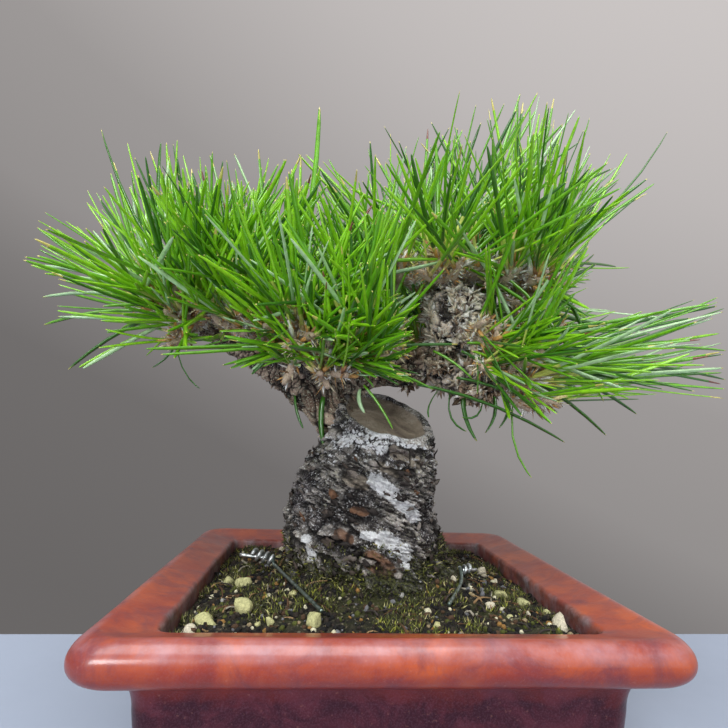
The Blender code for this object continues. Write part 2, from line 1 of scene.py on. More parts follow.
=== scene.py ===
"""Japanese black pine bonsai in a square red-brown pot: the surfaces that show, on its packed solids.

Metres, +Z up, -Y towards the front, in the frame of the solids.
"""

import math
import random
from collections import namedtuple

import bmesh
import bpy
import numpy as np
from bpy.props import FloatProperty, FloatVectorProperty, IntProperty, PointerProperty
from mathutils import Matrix, Vector, noise


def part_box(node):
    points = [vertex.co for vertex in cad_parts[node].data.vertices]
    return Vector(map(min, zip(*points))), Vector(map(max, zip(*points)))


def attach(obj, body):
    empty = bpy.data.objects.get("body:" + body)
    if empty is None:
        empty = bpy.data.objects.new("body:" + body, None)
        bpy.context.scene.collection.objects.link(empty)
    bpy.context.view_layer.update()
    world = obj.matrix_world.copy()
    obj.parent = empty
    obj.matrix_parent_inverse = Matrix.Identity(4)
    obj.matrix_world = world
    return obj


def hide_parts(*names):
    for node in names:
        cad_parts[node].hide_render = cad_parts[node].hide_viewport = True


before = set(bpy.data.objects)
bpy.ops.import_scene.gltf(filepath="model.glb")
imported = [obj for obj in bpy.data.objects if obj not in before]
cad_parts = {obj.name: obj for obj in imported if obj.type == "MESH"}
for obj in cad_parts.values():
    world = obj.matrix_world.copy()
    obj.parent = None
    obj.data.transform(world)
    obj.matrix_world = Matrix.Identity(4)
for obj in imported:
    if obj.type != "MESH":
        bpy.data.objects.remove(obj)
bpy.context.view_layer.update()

bl_info = {
    "name": "Black pine bonsai",
    "version": (1, 0, 0),
    "blender": (4, 5, 0),
    "location": "3D View > Sidebar > Bonsai",
    "description": "Bark, needles, soil and glaze of a potted pine",
    "category": "Object",
}

MM = 0.001

# Pot
RIM_TOP_WIDTH = 14 * MM
RIM_SLOPE = 2.8 * MM
LIP_DEPTH = 10.4 * MM
LIP_BULGE = 2.2 * MM
LIP_ROLL = 2.6 * MM
LIP_CORNER = 8 * MM
COVE_Z = 38 * MM
COVE_REACH = 5 * MM
BODY_HALF_TOP = 60.5 * MM
BODY_HALF_FOOT = 57 * MM
BODY_CORNER = 6 * MM
BODY_SWELL_Z = 28 * MM
WALL = 5 * MM
INNER_CORNER = 4 * MM
INNER_LIP_DEPTH = 8 * MM
FLOOR_THICKNESS = 4 * MM
FLOOR_HOLLOW = 5 * MM
FOOT_HEIGHT = 5 * MM
FOOT_ARCH_WIDTH = 66 * MM
FOOT_DEPTH = 9 * MM
FOOT_EDGE = 1.0 * MM
DRAIN_RADIUS = 8 * MM
SCREEN_HALF = 13 * MM
SCREEN_CELLS = 9

# Soil
SOIL_EDGE_Z = 52.6 * MM
SOIL_MOUND = 4.6 * MM
SOIL_ROUGHNESS = 0.7 * MM

# Trunk: heights, middles and half widths
TRUNK_STATIONS = (
    (55.2, 1.5, 30.5),
    (63, -1.2, 28.2),
    (70, -3.2, 27.4),
    (80, -3.6, 25.2),
    (88, -1.8, 24.2),
    (95, -0.3, 22.6),
    (101, 1.6, 20.4),
    (108, 3.8, 17.8),
    (124, 4.5, 17.0),
)
TRUNK_DEPTH_SHARE = 0.95
BARK_RELIEF = 1.1 * MM
ROOT_FLARE = 0.13
ROOT_COUNT = 5
CHOP_POINT = Vector((4.5, -5, 108.5)) * MM
CHOP_NORMAL = Vector((0.19, -0.44, 0.88)).normalized()
TRUNK_COLUMNS = 400
TRUNK_ROWS = 170
FACE_ROWS = 44

# White lime on the bark: the ends of each streak and its half width, in millimetres
LIME_STREAKS = (
    ((-1.0, -22.0, 89.3), (4.6, -22.0, 85.0), 2.1),
    ((4.6, -22.0, 85.0), (12.2, -20.0, 77.8), 1.8),
    ((-4.3, -26.0, 73.0), (1.9, -26.0, 71.6), 1.1),
    ((1.9, -26.0, 71.6), (8.6, -25.0, 67.4), 2.3),
    ((8.4, -25.0, 67.4), (8.8, -26.0, 63.8), 1.2),
    ((-15.0, -16.5, 101.0), (-8.6, -18.0, 102.5), 2.6),
    ((-8.6, -18.0, 102.0), (1.0, -20.0, 100.3), 2.4),
    ((1.0, -20.0, 101.3), (13.0, -17.0, 100.0), 0.7),
    ((-21.5, -17.0, 70.0), (-20.0, -18.5, 65.0), 1.3),
)
# Bare brown wood where a plate has come off, in the same way
RUST_SPOTS = (
    ((-7.5, -25.0, 79.9), (-4.0, -25.0, 79.7), 1.2),
    ((-12.0, -25.0, 73.0), (-9.0, -26.0, 71.5), 1.4),
    ((-2.0, -28.0, 66.0), (3.0, -28.0, 63.0), 2.2),
)
TAN_SPOTS = (((-9.5, -22.0, 89.6), (-4.5, -22.5, 88.2), 1.8), ((1.0, -20.5, 93.6), (7.0, -20.0, 91.0), 1.3),
    ((6.0, -20.0, 98.0), (14.0, -18.0, 95.0), 1.9))

# Boughs: for each, the places it passes and its radius there, in millimetres
BOUGHS = {
    "bough_left": (
        (-8, 5, 102, 8.2),
        (-15.5, 5.5, 111, 7.6),
        (-22, 6, 120, 9.2),
        (-33, 5.5, 127, 7.8),
        (-50, 5, 134.5, 4.8),
        (-66, 5, 142, 3.2),
    ),
    "bough_right": (
        (-17, 7, 121.5, 6.4),
        (-1, 8, 127, 5.6),
        (14, 8, 129, 6.2),
        (22.5, 6.5, 132, 6.6),
        (26.5, 5, 138, 6.8),
    ),
    "bough_apex": (
        (26.5, 5, 138.4, 6.8),
        (28.6, 3.6, 145, 9.6),
        (30.8, 2.2, 152, 11.6),
        (31.4, 1.8, 157.5, 10.4),
        (31.8, 1.6, 161, 7.0),
    ),
    "bough_low": (
        (21, 5, 130.5, 5.6),
        (31, 1.5, 125.6, 6.4),
        (39, -0.6, 124.8, 7.8),
        (47.5, -2, 127.6, 5.0),
    ),
    "bough_back": (
        (-15, 8, 122, 5.6),
        (-12, 19, 130, 5.0),
        (-7, 30, 136, 3.8),
    ),
    "spur_front": (
        (-23, 2, 123, 4.8),
        (-23.5, -5, 129, 4.4),
        (-24, -9.5, 132.5, 3.6),
    ),
    "spur_left": (
        (-42, 6, 131, 3.8),
        (-42, 8, 138, 3.4),
        (-41, 9.5, 143.5, 2.8),
    ),
}
BOUGH_STEP = 4.5 * MM
# How much of each bough old bud scales cover, and how pale it is
SCALY = {
    "bough_left": 0.03,
    "bough_right": 0.15,
    "bough_apex": 1.0,
    "bough_low": 0.75,
    "bough_back": 0.25,
    "spur_front": 0.35,
    "spur_left": 0.7,
}
BARK_CELL = 0.55 * MM

# Foliage: for each mass, the bough that it grows on, the length of its needles, how wide they spread,
# the place that its shoots point away from, the foot of each shoot, in millimetres and degrees, and
# between which slopes the needles show from the front, from 0 at the right over 90 upwards; how densely
Mass = namedtuple("Mass", "bough needle_length spread fan_middle feet fan density")
MASSES = {
    "needles_left_tip": Mass(
        "bough_left", 60, 70, (-56, 4, 126), ((-82, 0, 153), (-73, -9, 147), (-74, 14, 153)), (58, 181), 0.64
    ),
    "needles_left_mid": Mass(
        "spur_left",
        59,
        66,
        (-46, 6, 96),
        ((-62, 6, 156), (-47, -6, 150), (-56, 25, 153), (-37, 22, 153), (-36, 3, 154)),
        (40, 176),
        0.8,
    ),
    "needles_front": Mass(
        "spur_front", 46, 78, (-22, 14, 114), ((-28, -17, 137), (-9, -8, 148), (-10, -21, 132)), (-22, 250), 0.72
    ),
    "needles_apex": Mass(
        "bough_apex",
        80,
        68,
        (34, 6, 122),
        ((13, -2, 165), (33, -5, 167), (59, 1, 168), (24, 17, 167), (48, 19, 168)),
        (-14, 166),
        0.66,
    ),
    "needles_low": Mass(
        "bough_low", 90, 46, (16, 1, 115), ((51, -14, 124), (63, -5, 134), (62, 12, 132), (56, 3, 123)), (-12, 24), 0.36
    ),
    "needles_back": Mass(
        "bough_back",
        55,
        68,
        (4, 14, 112),
        ((-20, 37, 143), (-3, 41, 146), (18, 39, 146), (3, 25, 148), (32, 34, 142)),
        (15, 165),
        1.0,
    ),
}
# Shoots that break from lower on the limbs: foot, the way each points, and how long its needles are as a
# share of the mass's
LOW_SHOOTS = {
    "needles_left_tip": (
        ((-70, -5, 143), (-0.5, -0.5, 0.7), 0.8),
        ((-66, -4, 141), (-0.3, -0.8, 0.2), 0.5),
    ),
    "needles_left_mid": (
        ((-50, -11, 140), (0.1, -0.55, 0.8), 0.75),
        ((-62, -6, 146), (-0.35, -0.4, 0.8), 0.8),
        ((-41, -8, 136), (0.2, -0.6, 0.8), 0.7),
        ((-55, 1, 143), (-0.1, -0.2, 1.0), 0.7),
        ((-66, 2, 148), (-0.3, -0.2, 0.9), 0.9),
    ),
    "needles_front": (
        ((-14, -15, 127), (0.75, -0.5, 0.15), 0.9),
        ((-4, -12, 133), (0.55, -0.45, 0.7), 0.9),
        ((-19, -13, 127), (0.1, -0.8, 0.4), 0.7),
        ((6, -4, 136), (0.3, -0.4, 0.9), 0.8),
        ((-27, -17, 133), (-0.3, -0.8, -0.35), 0.5),
        ((-18, -15, 130), (0.45, -0.8, -0.3), 0.55),
        ((-3, -11, 129), (0.7, -0.6, -0.15), 0.6),
        ((-28, -18, 139), (0.05, -0.9, 0.4), 0.6),
    ),
    "needles_apex": (
        ((47, -5, 161), (0.75, -0.35, 0.35), 0.8),
        ((62, -3, 166), (0.9, -0.2, 0.35), 0.95),
        ((61, 9, 161), (0.85, 0.15, 0.45), 0.9),
        ((23, -8, 163), (-0.35, -0.6, 0.6), 0.7),
        ((56, 6, 158), (0.7, 0.0, -0.1), 0.55),
        ((5, 2, 160), (-0.5, -0.3, 0.7), 0.8),
        ((55, -2, 168), (0.1, -0.1, 1.0), 1.0),
        ((56, -6, 163), (0.5, -0.6, 0.3), 0.5),
        ((50, -7, 164), (-0.3, -0.8, 0.3), 0.45),
    ),
    "needles_low": (
        ((52, 8, 139), (0.1, -0.15, 1.0), 0.5),
        ((36, -11, 139), (0.5, -0.8, -0.35), 0.45),
        ((47, 11, 143), (0.0, -0.15, 1.0), 0.45),
        ((46, -7, 133), (0.45, -0.5, 0.75), 0.4),
        ((54, -8, 131), (0.6, -0.5, 0.45), 0.5),
        ((39, -9, 135), (0.85, -0.5, -0.1), 0.5),
        ((39, -10, 130), (0.6, -0.8, -0.2), 0.4),
        ((46, -13, 124), (0.9, -0.4, -0.1), 0.6),
    ),
    "needles_back": (((24, 22, 138), (0.3, -0.2, 0.9), 0.6), ((38, 24, 140), (0.6, 0.0, 0.7), 0.7)),
}
# Places on the upright plane through the pot's middle, as seen from the front, that needles leave open:
# left, low, right and high edges, and how far back they hold
OPENINGS = (
    (18, 139, 41, 161, 14),
    (7, 160, 20, 171, -9),
    (29, 162, 42, 170, -9),
    (49, 160, 62, 171, -9),
    (-31, 137, -25, 144, -12),
    (20, 117, 37, 138, 10),
    (-41, 106, -8, 128, 10),
    (-10, 98, 25, 121, 2),
    (-32, 56, 27, 103, 2),
    (-112, 84, -42, 120, 90),
    (26, 84, 100, 108, 90),
    (88, 174, 144, 190, 90),
    (80, 104, 144, 119, 90),
    (86, 157, 112, 171, 90),
)
# Single needles: root, tip, how far the middle bows aside, and which green, where 6 is the painted whitish sheen
STRAYS = (
    ((-73.0, 1, 141.5), (-80.4, 0, 125.0), (3, 0, -1), 2),
    ((-73.5, 0, 141.0), (-62.4, -2, 118.0), (-2, 0, -3), 2),
    ((-29.0, 0, 118.0), (-25.2, -3, 105.0), (-1, 0, 0), 2),
    ((-18.5, -2, 117.0), (-17.6, -4, 99.0), (-1, 0, 0), 2),
    ((24.5, -2, 122.0), (20.0, -4, 110.5), (-2, 0, -1), 2),
    ((28.5, -1, 121.0), (34.4, -2, 106.0), (-3, 0, -2), 2),
    ((33.0, -3, 120.5), (37.6, -4, 102.5), (-2, 0, 0), 2),
    ((39.5, -5, 119.5), (31.5, -6, 111.0), (2, 0, -3), 2),
    ((43.5, -5, 119.5), (40.0, -6, 105.5), (2, 0, 0), 2),
    ((49.5, -3, 121.0), (45.8, -4, 107.5), (2, 0, 0), 2),
    ((52.0, -9, 126.0), (54.8, -12, 90.5), (-5, 0, -2), 1),
    ((18.5, -21, 164.0), (-44.8, -26, 148.0), (0, 0, 3), 0),
    ((19.0, -21, 163.0), (-36.0, -24, 151.5), (0, 0, -2), 6),
    ((-31.0, -20, 144.0), (-24.0, -26, 214.0), (2, 0, 0), 1),
    ((-66.0, -8, 149.0), (-99.5, -16, 206.0), (-3, 0, -3), 2),
    ((-60.0, -10, 150.0), (-76.5, -14, 199.0), (-2, 0, 0), 1),
    ((59.5, 3, 169.0), (123.0, 5, 236.0), (4, 0, -4), 2),
    ((13.0, -16, 121.0), (66.0, -14, 103.0), (0, 0, 3), 2),
    ((33.0, -10, 165.0), (76.0, -22, 117.0), (4, 0, 5), 1),
    ((58.0, -6, 168.0), (74.0, -16, 133.0), (5, 0, 2), 2),
    ((36.0, -9, 168.0), (60.0, -20, 139.0), (3, 0, 3), 1),
    ((-5.5, -21, 119.5), (4.0, -25, 105.5), (0, 0, 1), 1),
    ((-6.5, -19, 118.5), (-5.0, -22, 110.5), (-1, 0, 0), 6),
    ((63, -5, 135), (133, -5, 161), (0, 0, -2), 1),
    ((62, -10, 132), (131, -10, 139), (0, 0, 3), 1),
    ((61, -10, 131), (130, -10, 128), (0, 0, 3), 2),
    ((61, -10, 130), (95, -10, 114), (0, 0, 2), 2),
    ((54, -12, 125), (82, -12, 106), (0, 0, 2), 2),
    ((-79, -10, 141), (-104.5, -10, 122), (0, 0, 2), 2),
    ((-79, -12, 143), (-113, -12, 136.5), (0, 0, 2), 1),
    ((-79, -12, 147), (-114.5, -12, 146), (0, 0, 2), 6),
    ((-78, -12, 149), (-119, -12, 157), (0, 0, 2), 6),
    ((31.5, -12, 137), (60, -13, 131), (0, 0, 2), 1),
    ((32, -13, 132), (62, -14, 143), (0, 0, -2), 2),
    ((34.7, -13, 126.5), (57, -15, 134.5), (0, 0, -2), 1),
    ((29.5, -12, 134), (43, -14, 122.5), (1, 0, 1), 2),
    ((39, -12, 141), (54, -13, 127.5), (1, 0, 2), 1),
    ((28, -11, 124.5), (51, -13, 118), (0, 0, 1), 2),
    ((45, -13, 128), (32, -16, 133.5), (0, 0, 1), 0),
    ((20, -9, 134), (33, -14, 124), (0, 0, 1), 1),
    ((53, -12, 133), (38, -17, 141), (0, 0, 2), 1),
    ((-10.6, -16, 129), (19, -16, 119.5), (0, 0, 1), 1),
    ((-6, -14, 128.5), (12, -16, 121.5), (0, 0, 1), 0),
    ((-14, -16, 128), (-2, -20, 119), (1, 0, 1), 1),
    ((36, -12, 137), (49, -16, 125), (1, 0, 1), 1),
    ((42, -12, 136), (56, -16, 129), (0, 0, 2), 2),
)
# Shares of bright, middle and deep needles, and of needles with a painted whitish sheen, where they aren't the common
# ones
GREENS = {
    "needles_left_tip": (0.52, 0.24, 0.10, 0.14),
    "needles_left_mid": (0.50, 0.28, 0.17, 0.05),
    "needles_low": (0.30, 0.32, 0.24, 0.14),
    "needles_front": (0.46, 0.28, 0.15, 0.11),
}
SHOOT_LENGTH = 13 * MM
SHOOT_RADIUS = 2.0 * MM
TWIG_RADIUS = 1.6 * MM
STEM_LENGTH = 3.6 * MM
STEM_RADIUS = 3.4 * MM
STEM_TAPER = 0.8
TWIG_SINK = 0.8 * MM
TWIG_KNEE = 0.55
TWIG_RISE = 1.2 * MM
SIDE_SHOOTS = 3
BUD_PLACES = (0.42, 0.78)
SHORT_REACH = 0.62
SIDE_REACH = 5.5 * MM
SIDE_LEAN = 0.75
NEEDLE_TRIES = 300
OUT_OF_FAN = 0.04
NEEDLE_CHECKS = 9
NEEDLE_ANGLE_TOP = math.radians(17)
GOLDEN_ANGLE = math.pi * (3 - math.sqrt(5))
CLEARANCE = 0.3 * MM
SPACE_MARGIN = -11.0 * MM
LIMB_MARGIN = 0.8 * MM
CROWN_LOW = np.array((-124, -80, 88)) * MM
CROWN_HIGH = np.array((139, 80, 254)) * MM
# The crown's upper outline on the upright plane through the pot's middle, as seen from the front, in
# millimetres, and how far needles pass it
CROWN_OUTLINE = (
    (-132, 172), (-117, 189), (-109, 196), (-103, 204), (-97, 210), (-83, 216), (-74, 208), (-62, 215),
    (-50, 212), (-41, 210), (-33, 215), (-25, 215), (-14, 202), (-7, 214), (-2, 226), (7, 218),
    (15, 229), (23, 233), (32, 246), (44, 241), (54, 252), (68, 249), (76, 245), (91, 235), (98, 228),
    (116, 211), (129, 195), (142, 174),
)
PAST_OUTLINE = 3.5 * MM
VIEW_PLACE = np.array((-18.5, -192.5, 103)) * MM
# Along a needle: the place of each ring and its share of the needle's width
NEEDLE_RINGS = ((0, 0.75), (0.12, 0.95), (0.32, 1), (0.54, 1), (0.75, 0.92), (0.92, 0.7), (0.985, 0.36))
NEEDLE_OUTLINE = ((-1, -0.15), (-0.6, 0.55), (0.6, 0.55), (1, -0.15), (0, -0.35))

# Tie wires: the coil's axis with the stub before it, its radius and turns, then the way of the rod
WIRE_RADIUS = 0.55 * MM
TIE_WIRES = {
    "tie_wire_left": (
        ((-45.0, -1, 61.2), (-40.5, -1, 61.6), (-33.6, -2, 60.0)),
        (1.5, 3.2),
        ((-33.0, -4, 58.8), (-27.5, -17, 57.9), (-22.0, -30, 57.0), (-16.5, -43, 56.0)),
    ),
    "tie_wire_right": (
        ((37.0, -6, 58.4), (34.6, -6.5, 59.2), (30.6, -9, 58.8)),
        (1.0, 2.2),
        ((30.4, -11, 57.6), (27.5, -20, 57.0), (20.0, -36, 55.9)),
    ),
}
# Larger stones in the soil: place and size, in millimetres
PUMICE = (
    (-47.0, -8.0, 3.4),
    (-41.5, -12.5, 4.6),
    (-38.0, -38.5, 4.8),
    (-19.0, -44.5, 4.4),
    (-46.8, -44.0, 3.8),
    (-38.6, -52.0, 3.0),
    (49.0, -44.0, 4.6),
    (41.0, -20.0, 3.6),
    (46.0, -26.0, 3.2),
    (43.0, 6.0, 3.4),
    (-50.0, -48.5, 3.2),
    (-30.0, -44.5, 3.4),
    (12.0, -52.5, 2.6),
    (33.0, -34.0, 2.4),
)

PHOTO_PIXELS = 728
PHOTO_FOCAL_PIXELS = 525
SENSOR_WIDTH = 36
# The table: its size, where its far edge runs behind the pot, and how far it is turned
TABLE_SIZE = (3.0, 2.0, 0.02)
TABLE_EDGE_Y = 101 * MM
TABLE_TURN = math.radians(0.65)
# The air: which way it grows lighter, and its brightness along that way
AIR_AXIS = (0.458, 0, 0.889)
AIR_STEPS = ((0.30, 0.66), (0.45, 0.76), (0.50, 0.98), (0.56, 1.36), (0.66, 1.56), (0.80, 2.38), (1.0, 3.3))
CAMERA_YAW = math.radians(4.3)
CAMERA_PITCH = math.radians(7.85)
CAMERA_ROLL = math.radians(1.84)


def length(name, description, default, most=1.0):
    """A setting for a length in metres."""
    return FloatProperty(
        name=name, description=description, default=default, min=0, max=most, precision=5, unit="LENGTH"
    )


def colour(name, description, default):
    """A setting for a colour."""
    return FloatVectorProperty(
        name=name, description=description, default=default, min=0, max=1, size=3, subtype="COLOR"
    )


class PotSettings(bpy.types.PropertyGroup):
    """Sizes and colours of the pot."""

    rim_half: length("Rim half width", "Half the width across the rim", 70 * MM)
    height: length("Height", "Height of the pot with its feet", 58 * MM)
    unevenness: length("Unevenness", "How far the hand-pressed walls wander", 0.22 * MM)
    glaze: colour("Glaze", "Main red-brown of the glaze", (0.24, 0.021, 0.007))
    glaze_light: colour("Light glaze", "Orange where the glaze is thin", (0.50, 0.090, 0.012))
    # The dark glaze also gives the painted shade that the glaze takes towards the bottom of the pot
    glaze_dark: colour("Dark glaze", "Purple-brown where the glaze is thick", (0.034, 0.003, 0.010))
    deposit: colour("Deposit", "Pale mineral deposit inside the rim", (0.34, 0.30, 0.32))


class SoilSettings(bpy.types.PropertyGroup):
    """The ground in the pot."""

    grit_count: IntProperty(name="Grit", description="Number of loose grains", default=3400, min=0, max=9000)
    moss_count: IntProperty(name="Moss", description="Number of moss leaves", default=15000, min=0, max=40000)
    earth: colour("Earth", "Colour of the wet soil", (0.012, 0.009, 0.007))
    moss: colour("Moss", "Main colour of the moss", (0.100, 0.112, 0.014))
    stone: colour("Pumice", "Colour of the pale stones", (0.58, 0.56, 0.27))


class BarkSettings(bpy.types.PropertyGroup):
    """The bark of the trunk and the boughs."""

    plate_width: length("Plate width", "Width of a bark plate on the trunk", 9.5 * MM)
    plate_height: length("Plate height", "Height of a bark plate on the trunk", 4.4 * MM)
    plate_depth: length("Plate depth", "How far a plate stands out of the cracks", 1.9 * MM)
    scale_size: length("Scale size", "Length of an old bud scale", 4.3 * MM)
    dark: colour("Dark bark", "Colour in and near the cracks", (0.010, 0.008, 0.008))
    middle: colour("Bark", "Main colour of the plates", (0.055, 0.047, 0.045))
    light: colour("Light bark", "Colour of the weathered faces", (0.68, 0.62, 0.56))
    lime: colour("Lime", "White deposit on the bark", (0.97, 0.98, 0.99))


class NeedleSettings(bpy.types.PropertyGroup):
    """The needles and their shoots."""

    half_width: length("Half width", "Half the width of a needle", 0.70 * MM)
    pairs_main: IntProperty(name="Pairs", description="Pairs of needles on a main shoot", default=17, min=1, max=60)
    pairs_side: IntProperty(name="Side pairs", description="Pairs on each side shoot", default=5, min=0, max=60)
    pairs_bud: IntProperty(name="Bud pairs", description="Pairs on each shoot along a twig", default=4, min=0, max=60)
    bright: colour("Bright needle", "Yellow-green of the young needles", (0.245, 0.56, 0.010))
    middle: colour("Needle", "Main green", (0.125, 0.37, 0.006))
    deep: colour("Deep needle", "Dark green of the older needles", (0.034, 0.145, 0.006))
    tip: colour("Needle tip", "Straw colour of the needle tips", (0.55, 0.48, 0.12))
    sheath: colour("Sheath", "Brown of the sheaths at the needles' feet", (0.72, 0.40, 0.13))


class StageSettings(bpy.types.PropertyGroup):
    """Floor, air and lights."""

    floor: colour("Floor", "Colour of the floor", (0.34, 0.388, 0.483))
    air: colour("Surroundings", "Colour all round", (0.215, 0.203, 0.200))
    key_power: FloatProperty(name="Key light", description="Power of the large soft light", default=9.0, unit="POWER")
    fill_power: FloatProperty(name="Fill light", description="Power of the right light", default=3.2, unit="POWER")
    front_power: FloatProperty(name="Front light", description="Power of the low front light", default=2.6, unit="POWER")


# Finishes


class Finish:
    """One procedural material, built node by node."""

    def __init__(self, name, **uniform):
        self.mat = bpy.data.materials.new(name)
        self.mat.use_nodes = True
        self.tree = self.mat.node_tree
        self.shader = self.tree.nodes["Principled BSDF"]
        self.place = self.node("ShaderNodeTexCoord").outputs["Object"]
        for key, value in uniform.items():
            self.shader.inputs[key.replace("_", " ")].default_value = value

    def node(self, kind, feeds=(), **settings):
        """A new node, with its settings and what feeds its sockets."""
        made = self.tree.nodes.new(kind)
        for key, value in settings.items():
            setattr(made, key, value)
        for key, value in dict(feeds).items():
            self.feed(made.inputs[key], value)
        return made

    def feed(self, socket, value):
        """Links a socket to another node's output, or sets its value."""
        if isinstance(value, bpy.types.NodeSocket):
            self.tree.links.new(value, socket)
        elif socket.type == "RGBA" and len(value) == 3:
            socket.default_value = (*value, 1)
        else:
            socket.default_value = value

    def clouds(self, scale, detail=4, roughness=0.55, distortion=0.0, place=None):
        """Noise from 0 to 1."""
        feeds = {"Vector": place or self.place, "Scale": scale, "Detail": detail}
        feeds.update({"Roughness": roughness, "Distortion": distortion})
        return self.node("ShaderNodeTexNoise", feeds).outputs["Fac"]

    def stretched(self, size, turn=(0, 0, 0)):
        """The place on the piece, stretched and turned."""
        feeds = {"Vector": self.place, "Scale": size, "Rotation": turn}
        return self.node("ShaderNodeMapping", feeds).outputs["Vector"]

    def cells(self, scale, output="Distance", feature="F1", place=None):
        """A pattern of cells."""
        feeds = {"Vector": place or self.place, "Scale": scale}
        return self.node("ShaderNodeTexVoronoi", feeds, feature=feature).outputs[output]

    def level(self, value, low, high, to_low=0.0, to_high=1.0):
        """The value from low to high, spread over another range."""
        feeds = {"Value": value, "From Min": low, "From Max": high, "To Min": to_low, "To Max": to_high}
        return self.node("ShaderNodeMapRange", feeds).outputs["Result"]

    def ramp(self, value, *stops):
        """Colours along a value."""
        made = self.node("ShaderNodeValToRGB", {"Fac": value})
        marks = made.color_ramp.elements
        while len(marks) < len(stops):
            marks.new(0.5)
        for mark, (at, shade) in zip(marks, stops):
            mark.position = at
            mark.color = (*shade, 1)
        return made.outputs["Color"]

    def mix(self, share, a, b, blend="MIX"):
        """One colour over another."""
        made = self.node("ShaderNodeMix", data_type="RGBA", blend_type=blend)
        for socket, value in zip((made.inputs[0], made.inputs[6], made.inputs[7]), (share, a, b)):
            self.feed(socket, value)
        return made.outputs[2]

    def math(self, operation, a, b=0.0):
        """Arithmetic on two values."""
        made = self.node("ShaderNodeMath", operation=operation)
        self.feed(made.inputs[0], a)
        self.feed(made.inputs[1], b)
        return made.outputs[0]

    def part(self, axis):
        """One coordinate of the place on the piece."""
        return self.node("ShaderNodeSeparateXYZ", {"Vector": self.place}).outputs[axis]

    def attribute(self, name):
        """A value kept on the piece's own mesh."""
        return self.node("ShaderNodeAttribute", attribute_name=name).outputs["Fac"]

    def relief(self, *layers):
        """Bumps: for each layer a height, its strength and its depth in metres."""
        normal = None
        for height, strength, depth in layers:
            feeds = {"Height": height, "Strength": strength, "Distance": depth}
            if normal:
                feeds["Normal"] = normal
            normal = self.node("ShaderNodeBump", feeds).outputs["Normal"]
        self.feed(self.shader.inputs["Normal"], normal)

    def paint(self, base, roughness=None):
        """Feeds the colour and the roughness."""
        self.feed(self.shader.inputs["Base Color"], base)
        if roughness is not None:
            self.feed(self.shader.inputs["Roughness"], roughness)
        return self.mat


def glaze_finish(settings, name, coat, specular):
    """Satin red-brown glaze, thick and purple on the walls, thin and orange on the rim; its darkening towards the
    bottom is partly painted shade, and the lilac along the rim's outer edge is a painted highlight.
    """
    f = Finish(name, Coat_Weight=coat, Coat_Roughness=0.17, Specular_IOR_Level=specular)
    clouds = f.clouds(38, 5, 0.6, 0.8)
    streaks = f.clouds(26, 4, 0.6, 0.5, f.stretched((1, 1, 3.5), (0, 0, 0.6)))
    blotches = f.math("ADD", f.math("MULTIPLY", clouds, 0.6), f.math("MULTIPLY", streaks, 0.4))
    # Darker towards the bottom and lighter towards the rim: partly the glaze's own change, partly painted shade under
    # the lip
    high = f.level(f.part("Z"), 0.038, 0.0535, -0.33, 0.17)
    base = f.ramp(
        f.math("ADD", blotches, high),
        (0.22, settings.glaze_dark),
        (0.55, settings.glaze),
        (0.80, settings.glaze_light),
    )
    # Purple cast that wanders over the glaze
    cast = f.level(f.clouds(70, 5, 0.65, 1.2), 0.46, 0.68, 0, 0.75)
    base = f.mix(cast, base, (0.12, 0.020, 0.032))
    specks = f.level(f.clouds(900, 2, 0.5), 0.66, 0.74, 0, 0.16)
    base = f.mix(specks, base, (0.45, 0.20, 0.15))
    grain = f.level(f.clouds(2200, 3, 0.7), 0.46, 0.64, 0, 0.16)
    base = f.mix(grain, base, (0.20, 0.09, 0.13))
    # Pale deposit on the inner wall, just over the soil
    apart = f.math("MAXIMUM", f.math("ABSOLUTE", f.part("X")), f.math("ABSOLUTE", f.part("Y")))
    # Painted lilac highlight along the outer top edge of the rim, standing in for the lip's reflection of the light
    painted_highlight = f.math("MULTIPLY", f.level(f.part("Z"), 0.0535, 0.0560), f.level(apart, 0.0668, 0.0688))
    painted_highlight = f.math("MULTIPLY", painted_highlight, f.level(f.clouds(55, 5, 0.7), 0.42, 0.66, 0.05, 0.34))
    base = f.mix(painted_highlight, base, (0.52, 0.36, 0.42))
    wander = f.math("MULTIPLY", f.clouds(120, 4, 0.6), 0.004)
    inside = f.level(f.math("ADD", apart, wander), 0.0592, 0.0572)
    upper = f.level(f.part("Z"), 0.044, 0.048)
    inside = f.math("MULTIPLY", inside, upper)
    patchy = f.level(f.clouds(160, 5, 0.7), 0.42, 0.66, 0.1, 0.85)
    wall = f.mix(patchy, (0.075, 0.028, 0.022), settings.deposit)
    base = f.mix(inside, base, wall)
    rough = f.level(f.clouds(85, 4, 0.6), 0.3, 0.7, 0.30, 0.46)
    rough = f.math("ADD", rough, f.math("MULTIPLY", inside, 0.35))
    f.relief((f.clouds(140, 4, 0.5), 0.35, 0.0006), (f.clouds(1100, 2, 0.5), 0.12, 0.0002))
    return f.paint(base, rough)


def screen_finish():
    """Black plastic mesh."""
    f = Finish("screen_plastic")
    tone = f.ramp(f.clouds(700), (0.35, (0.012, 0.012, 0.012)), (0.7, (0.035, 0.035, 0.033)))
    f.relief((f.clouds(1500, 3), 0.2, 0.0002))
    return f.paint(tone, f.level(f.clouds(400), 0.3, 0.7, 0.45, 0.65))


